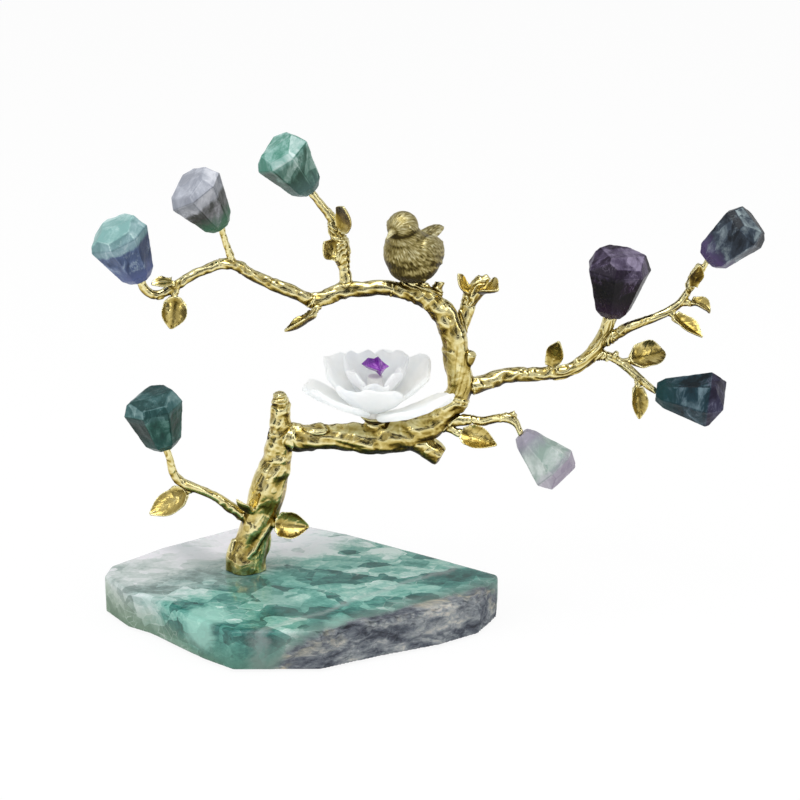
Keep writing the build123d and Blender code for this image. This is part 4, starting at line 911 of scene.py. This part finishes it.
for seed, (name, (slot, way, crown_from, body_tones, crown_tones, root_tone)) in enumerate(stones.items()):
    stone = fuse("cut_" + name, [nodes[name].data], stone_skin)
    places, outward, edges = read_skin(stone)
    places = relax(places, edges, 2)
    low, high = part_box(name)
    axis = np.array(Vector(way).normalized())
    along = places @ axis
    along = (along - along.min()) / (along.max() - along.min())
    facing = outward @ axis
    shift = Vector((seed * 3.0, seed * 1.3, 0))
    dents = np.array([min(0.0, noise.noise(Vector(place) / dent_size + shift)) for place in places])
    grain = np.array([noise.noise(Vector(place) / stone_grain_size) for place in places])
    places = places + outward * (dents * dent_depth + grain * stone_grain_depth)[:, None]
    write_skin(stone, np.clip(places, low, high))
    mark(stone, "along", along)
    mark(stone, "crown", np.clip((facing - 0.28) / 0.12, 0, 1))
    # Painted light and shade: each facet gets a tone from the way it faces, as if each caught the light
    # differently.
    mark(stone, "facet_light_tone", np.array([noise.noise(Vector(face) * 2.2 + shift) for face in outward]))

    # Tumbled fluorite: a soft gloss over clouds and shards of colour, with a few white veins. The crown and
    # the body differ, partly in the stone's own bands and partly as painted light on the crown, and each sawn
    # face gets a tone from the way it faces, which is painted light and shade.
    material, tree, shader, spot = start_material(slot + "_" + name, IOR=1.434, Roughness=0.34,
                                                  Specular_IOR_Level=0.22, Subsurface_Weight=0.1,
                                                  Subsurface_Radius=(2 * mm, 2 * mm, 2 * mm))
    shifted = node(tree, "Mapping", {"Vector": spot, "Location": (seed * 0.37, 0, seed * 0.11),
                                     "Rotation": (seed * 0.5, 0.4, seed * 1.1), "Scale": (1.0, 1.0, 0.55)})
    shifted = shifted.outputs[0]
    cloud = node(tree, "TexNoise", {"Vector": shifted, "Scale": 1 / stone_cloud_size, "Detail": 7.0,
                                    "Roughness": 0.62, "Distortion": 0.6})
    shard = node(tree, "TexVoronoi", {"Vector": shifted, "Scale": 1 / stone_shard_size}, distance="MANHATTAN")
    shard_tone = node(tree, "SeparateColor", {"Color": shard.outputs["Color"]}).outputs[0]
    mixed = node(tree, "Math", {0: shard_tone, 1: 0.18, 2: cloud.outputs["Fac"]}, operation="MULTIPLY_ADD")
    facet_light_tone = node(tree, "Attribute", attribute_name="facet_light_tone").outputs["Fac"]
    mixed = node(tree, "Math", {0: facet_light_tone, 1: 0.30, 2: mixed.outputs[0]}, operation="MULTIPLY_ADD")
    body = node(tree, "ValToRGB", {0: mixed.outputs[0]}, stops=tuple(
        (position, linear(tone)) for position, tone in zip((0.50, 0.66, 0.88), body_tones)
    ))
    crown = node(tree, "ValToRGB", {0: mixed.outputs[0]}, stops=tuple(
        (position, linear(tone)) for position, tone in zip((0.50, 0.68, 0.92), crown_tones)
    ))
    along_axis = node(tree, "Attribute", attribute_name="along").outputs["Fac"]
    on_crown = node(tree, "Attribute", attribute_name="crown").outputs["Fac"]
    # The crown's colour is partly the stone's own bands and partly painted light: on the stones that point
    # up, its lighter tones stand for the light on the top facets.
    high_up = node(tree, "Math", {0: cloud.outputs["Fac"], 1: 0.24, 2: along_axis}, operation="MULTIPLY_ADD")
    high_up = node(tree, "MapRange", {0: high_up.outputs[0], 1: crown_from + 0.14, 2: crown_from + 0.20})
    crown_bands_and_light = node(tree, "Math", {0: high_up.outputs[0], 1: 0.55}, operation="MULTIPLY")
    crown_bands_and_light = node(tree, "Math", {0: crown_bands_and_light.outputs[0], 1: on_crown}, operation="MAXIMUM")
    low_down = node(tree, "Math", {0: cloud.outputs["Fac"], 1: 0.5, 2: along_axis}, operation="MULTIPLY_ADD")
    low_down = node(tree, "MapRange", {0: low_down.outputs[0], 1: 0.62, 2: 0.36, 3: 0.0, 4: 0.8})
    colour = node(tree, "Mix", {0: crown_bands_and_light.outputs[0], 6: body.outputs[0], 7: crown.outputs[0]},
                  data_type="RGBA")
    colour = node(tree, "Mix", {0: low_down.outputs[0], 6: colour.outputs[2], 7: linear(root_tone)},
                  data_type="RGBA")
    vein = node(tree, "TexNoise", {"Vector": shifted, "Scale": 1 / stone_vein_size, "Detail": 9.0,
                                   "Roughness": 0.62, "Distortion": 0.3})
    vein = node(tree, "Math", {0: vein.outputs["Fac"], 1: 0.5}, operation="SUBTRACT")
    vein = node(tree, "Math", {0: vein.outputs[0]}, operation="ABSOLUTE")
    vein = node(tree, "MapRange", {0: vein.outputs[0], 1: 0.0, 2: stone_vein_width, 3: 0.40, 4: 0.0})
    vein_here = node(tree, "MapRange", {0: cloud.outputs["Fac"], 1: 0.50, 2: 0.62})
    vein = node(tree, "Math", {0: vein.outputs[0], 1: vein_here.outputs[0]}, operation="MULTIPLY")
    veined = node(tree, "Mix", {0: vein.outputs[0], 6: colour.outputs[2], 7: linear(crown_tones[2])},
                  data_type="RGBA")
    tree.links.new(veined.outputs[2], shader.inputs["Base Color"])
    worn = node(tree, "TexNoise", {"Vector": shifted, "Scale": 1 / worn_size, "Detail": 5.0,
                                   "Roughness": 0.65})
    worn_bump = node(tree, "Bump", {"Height": worn.outputs["Fac"], "Distance": 0.35 * mm, "Strength": 0.6})
    tree.links.new(worn_bump.outputs[0], shader.inputs["Normal"])
    dress(stone, material, slot, name)

# Bird: modelled in wax, cast in one piece and given a matt antique wash. Its down is scratched in
# short strokes that run back from the beak, and its wings and tail have larger feathers.
bird_skin = 0.36 * mm
eye_ahead = 11.6
eye_aside = 7.1
eye_up = 34.4
stroke_width = 0.6
stroke_length = 2.8
stroke_depth = 0.15
tuft_depth = 0.16
tuft_size = 2.6
turn_spread = 12
belly_height = 21
belly_blend = 5
tarnish_size = 6.0 * mm
bird_heading = math.radians(-127)
forward = Vector((math.cos(bird_heading), math.sin(bird_heading), 0))
left = Vector((-forward.y, forward.x, 0))
bird_turn = Matrix((forward, left, Vector((0, 0, 1)))).transposed()


def on_bird(ahead, aside, up):
    """A point given from the perch: ahead of it, to the bird's left and up, in millimetres."""
    return perch + bird_turn @ Vector((ahead, aside, up))


def egg(ahead, aside, up, radii, pitch=0.0, yaw=0.0, roll=0.0):
    """A lump of the bird, pitched up at the front, and turned or rolled if need be."""
    turn = Matrix.Rotation(math.radians(yaw), 3, "Z") @ Matrix.Rotation(math.radians(-pitch), 3, "Y")
    turn = turn @ Matrix.Rotation(math.radians(roll), 3, "X")
    return lump(on_bird(ahead, aside, up), radii, bird_turn @ turn)


shapes = [
    egg(0, 0, 14.6, (17.0, 14.8, 13.6), 20),
    egg(3.5, 0, 17.0, (13.0, 13.6, 13.4)),
    egg(0.0, 1.0, 9.6, (14.8, 13.6, 10.0)),
    egg(6.2, 0, 25.4, (9.8, 9.4, 8.8)),
    egg(8.4, 0, 32.6, (8.9, 8.3, 8.3)),
    rod([on_bird(14.0, 0, 32.4), on_bird(17.8, 0, 31.6), on_bird(20.4, 0, 30.6), on_bird(22.4, 0, 29.2)],
        (3.2, 2.2, 1.3, 0.5)),
    egg(4.0, 9.6, 6.4, (3.2, 2.4, 4.8), 0, 0, 30),
]
for side in (-1, 1):
    shapes.append(egg(-4.0, side * 9.8, 17.0, (13.0, 5.0, 9.0), 22, side * 8))
    for step in range(4):
        shapes.append(egg(-5.2 - step * 0.4, side * (13.4 - step * 0.4), 11.8 + step * 3.2,
                          (8.6, 1.2, 1.5), 24 - step * 5, side * 14))
    eye = on_bird(eye_ahead, side * eye_aside, eye_up)
    look = bird_turn @ Vector((0.34, side * 0.88, 0.30))
    across = look.cross(Vector((0, 0, 1))).normalized()
    above = across.cross(look)
    ring = [
        eye + (across * math.cos(math.tau * step / 18) + above * math.sin(math.tau * step / 18)) * 1.9
        for step in range(19)
    ]
    shapes.append(rod(ring, [0.45] * 19, 6))
    shapes.append(lump(eye, (1.15, 1.15, 1.15)))
for step in range(5):
    shapes.append(egg(-15.5, (step - 2) * 2.0, 22.6, (10.4, 1.8, 1.5), -14 + abs(step - 2) * 2,
                      (step - 2) * 4))
bird = fuse("cast_bird", shapes, bird_skin)
places, outward, edges = read_skin(bird)
places = relax(places, edges, 6)

# The lower body is evened to one round belly. The down then runs back from the throat on all sides:
# each point keeps how far it is from the throat and how far round the line from throat to belly.
belly = np.clip((perch.z + belly_height - places[:, 2] / mm) / belly_blend, 0, 1)[:, None]
places = places + (relax(places, edges, 50) - places) * belly
throat = on_bird(15, 0, 30)
belly_way = (on_bird(-14, 0, 6) - throat).normalized()
belly_up = belly_way.cross(left)
turns = np.empty(len(places))
runs = np.empty(len(places))
heights = np.empty(len(places))
for index, place in enumerate(places):
    spot = Vector(place) / mm
    offset = spot - throat
    run = offset.length
    turn = math.atan2(offset.dot(belly_up), offset.dot(left))
    turns[index] = turn * turn_spread
    runs[index] = run
    smooth = min(1.0, max(0.0, (spot - on_bird(eye_ahead, eye_aside, eye_up)).length / 3.2 - 0.8))
    stroke = noise.noise(Vector((turn * turn_spread / stroke_width / 1.5, run / stroke_length, 3.0)))
    tuft = noise.noise(spot / tuft_size)
    heights[index] = (stroke_depth * stroke + tuft_depth * tuft) * smooth
places = places + outward * (heights * mm)[:, None]
places = relax(places, edges, 1)
places[:, 2] = np.maximum(places[:, 2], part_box("bird")[0].z)
write_skin(bird, places)
mark(bird, "feather_turn", turns)
mark(bird, "feather_run", runs)

# Antique brass, left matt: pale khaki gold on top of the scratched strokes and brown between them, and darker
# on the undersides, which is painted shade. The real strokes are about 0.3 mm wide, too fine to show, so they
# are drawn 0.6 mm wide.
antique_brass, tree, shader, spot = start_material("antique_matt_brass", Metallic=1.0, Roughness=0.46)
hollow_wash_and_shade = node(tree, "Attribute", attribute_name="hollow_wash_and_shade").outputs["Fac"]
feather_turn = node(tree, "Attribute", attribute_name="feather_turn").outputs["Fac"]
feather_run = node(tree, "Attribute", attribute_name="feather_run").outputs["Fac"]
feather = node(tree, "CombineXYZ", {0: feather_turn, 1: node(
    tree, "Math", {0: feather_run, 1: stroke_width / stroke_length}, operation="MULTIPLY").outputs[0]})
strokes = node(tree, "TexNoise", {"Vector": feather.outputs[0], "Scale": 1 / stroke_width, "Detail": 2.0})
tarnish = node(tree, "TexNoise", {"Vector": spot, "Scale": 1 / tarnish_size, "Detail": 3.0})
# The wash carries painted shade on the bird's undersides as well as the brown between the strokes.
wash_with_underside_shade = node(tree, "Math", {0: strokes.outputs["Fac"], 1: 0.75, 2: hollow_wash_and_shade}, operation="MULTIPLY_ADD")
wash_with_underside_shade = node(tree, "Math", {0: tarnish.outputs["Fac"], 1: 0.30, 2: wash_with_underside_shade.outputs[0]}, operation="MULTIPLY_ADD")
matt_tone = node(tree, "ValToRGB", {0: wash_with_underside_shade.outputs[0]}, stops=(
    (0.54, linear("ded8b0")), (0.69, linear("ada06c")), (0.84, linear("75693c")), (1.0, linear("3b3217")),
))
tree.links.new(matt_tone.outputs[0], shader.inputs["Base Color"])
stroke_bump = node(tree, "Bump", {"Height": strokes.outputs["Fac"], "Distance": 0.30 * mm, "Strength": 0.8})
tree.links.new(stroke_bump.outputs[0], shader.inputs["Normal"])
finish_casting(bird, places, edges, antique_brass, "bird_brass", "bird")

# Studio: a white sheet under and behind the ornament, soft boxes above and to both sides, and a
# long lens from a little above, level with the ornament's middle.
view_target = Vector((55.6, 11, 126.5)) * mm
view_distance = 1400 * mm
view_elevation = math.radians(22)
lens_pixels = 2545.45
frame_pixels = 800
floor_size = 12.0
bpy.ops.mesh.primitive_plane_add(size=floor_size, location=(0, 0, 0))
floor = bpy.context.object
floor.name = "white_sheet"

# White paper: dull, and lit by its own glow where the camera sees it, so it runs out to white.
sheet, tree, shader, spot = start_material("white_paper_sheet", Base_Color=linear("f4f4f4"), Roughness=0.9)
glow = node(tree, "Emission", {"Color": (1, 1, 1, 1), "Strength": 1.0})
light_path = node(tree, "LightPath")
seen = node(tree, "Math", {0: light_path.outputs["Is Camera Ray"], 1: 0.92}, operation="MULTIPLY")
blend = node(tree, "MixShader", {0: seen.outputs[0], 1: shader.outputs[0], 2: glow.outputs[0]})
tree.links.new(blend.outputs[0], tree.nodes["Material Output"].inputs["Surface"])
floor.data.materials.append(sheet)

# The white room round the set: full white to the camera, and dimmer as light and in mirrorings.
world = bpy.data.worlds.new("studio")
bpy.context.scene.world = world
world.use_nodes = True
tree = world.node_tree
light_path = node(tree, "LightPath")
mirrored = node(tree, "Math", {0: light_path.outputs["Is Glossy Ray"],
                               1: light_path.outputs["Is Transmission Ray"]}, operation="MAXIMUM")
strength = node(tree, "MapRange", {0: mirrored.outputs[0], 3: 0.60, 4: 0.72})
strength = node(tree, "Math", {0: light_path.outputs["Is Camera Ray"], 1: strength.outputs[0]},
                operation="MAXIMUM")
tree.links.new(strength.outputs[0], tree.nodes["Background"].inputs["Strength"])
tree.nodes["Background"].inputs["Color"].default_value = (1, 1, 1, 1)


def soft_box(name, place, aim, width, height, watts):
    """A rectangular studio lamp behind white cloth."""
    lamp = bpy.data.lights.new(name, "AREA")
    lamp.shape = "RECTANGLE"
    lamp.size = width
    lamp.size_y = height
    lamp.energy = watts
    holder = bpy.data.objects.new(name, lamp)
    holder.location = place
    holder.rotation_euler = (Vector(aim) - Vector(place)).to_track_quat("-Z", "Y").to_euler()
    bpy.context.scene.collection.objects.link(holder)


soft_box("top_box", (0.0, -0.25, 1.5), view_target, 1.2, 0.9, 12)
soft_box("left_box", (-1.3, -0.8, 0.9), view_target, 0.7, 1.0, 8)
soft_box("right_box", (1.4, -0.6, 0.7), view_target, 0.6, 1.0, 5)


def black_card(name, place, width, height):
    """A black card beside the set, which only the polished brass mirrors, as dark lines."""
    shape = bmesh.new()
    corners = [(-width / 2, -height / 2), (width / 2, -height / 2), (width / 2, height / 2),
               (-width / 2, height / 2)]
    shape.faces.new([shape.verts.new((x, y, 0)) for x, y in corners])
    mesh = bpy.data.meshes.new(name)
    shape.to_mesh(mesh)
    shape.free()
    card = bpy.data.objects.new(name, mesh)
    card.location = place
    card.rotation_euler = (view_target - Vector(place)).to_track_quat("Z", "Y").to_euler()
    card.visible_camera = False
    card.visible_diffuse = False
    card.visible_shadow = False
    card.visible_transmission = False
    card.data.materials.append(black_paper)
    bpy.context.scene.collection.objects.link(card)


# Black paper: dull and nearly black, so polished metal gets the dark lines that give it its shape.
black_paper, tree, shader, spot = start_material("black_paper_card", Base_Color=linear("16130c"),
                                                 Roughness=0.9)
black_card("left_card", (-1.0, -0.5, 0.35), 0.55, 1.1)
black_card("right_card", (1.15, -0.25, 0.55), 0.5, 1.2)
black_card("front_card", (0.05, -1.7, 0.75), 1.3, 0.6)
black_card("low_card", (0.1, -1.5, 0.12), 1.3, 0.22)
black_card("back_card", (0.0, 1.0, 0.75), 1.6, 0.35)

lens = bpy.data.cameras.new("long_lens")
lens.sensor_width = 36.0
lens.lens = lens_pixels / frame_pixels * lens.sensor_width
camera = bpy.data.objects.new("long_lens", lens)
back = Vector((0, -math.cos(view_elevation), math.sin(view_elevation)))
camera.location = view_target + back * view_distance
camera.rotation_euler = (-back).to_track_quat("-Z", "Y").to_euler()
bpy.context.scene.collection.objects.link(camera)
bpy.context.scene.camera = camera
bpy.context.scene.view_settings.view_transform = "Standard"
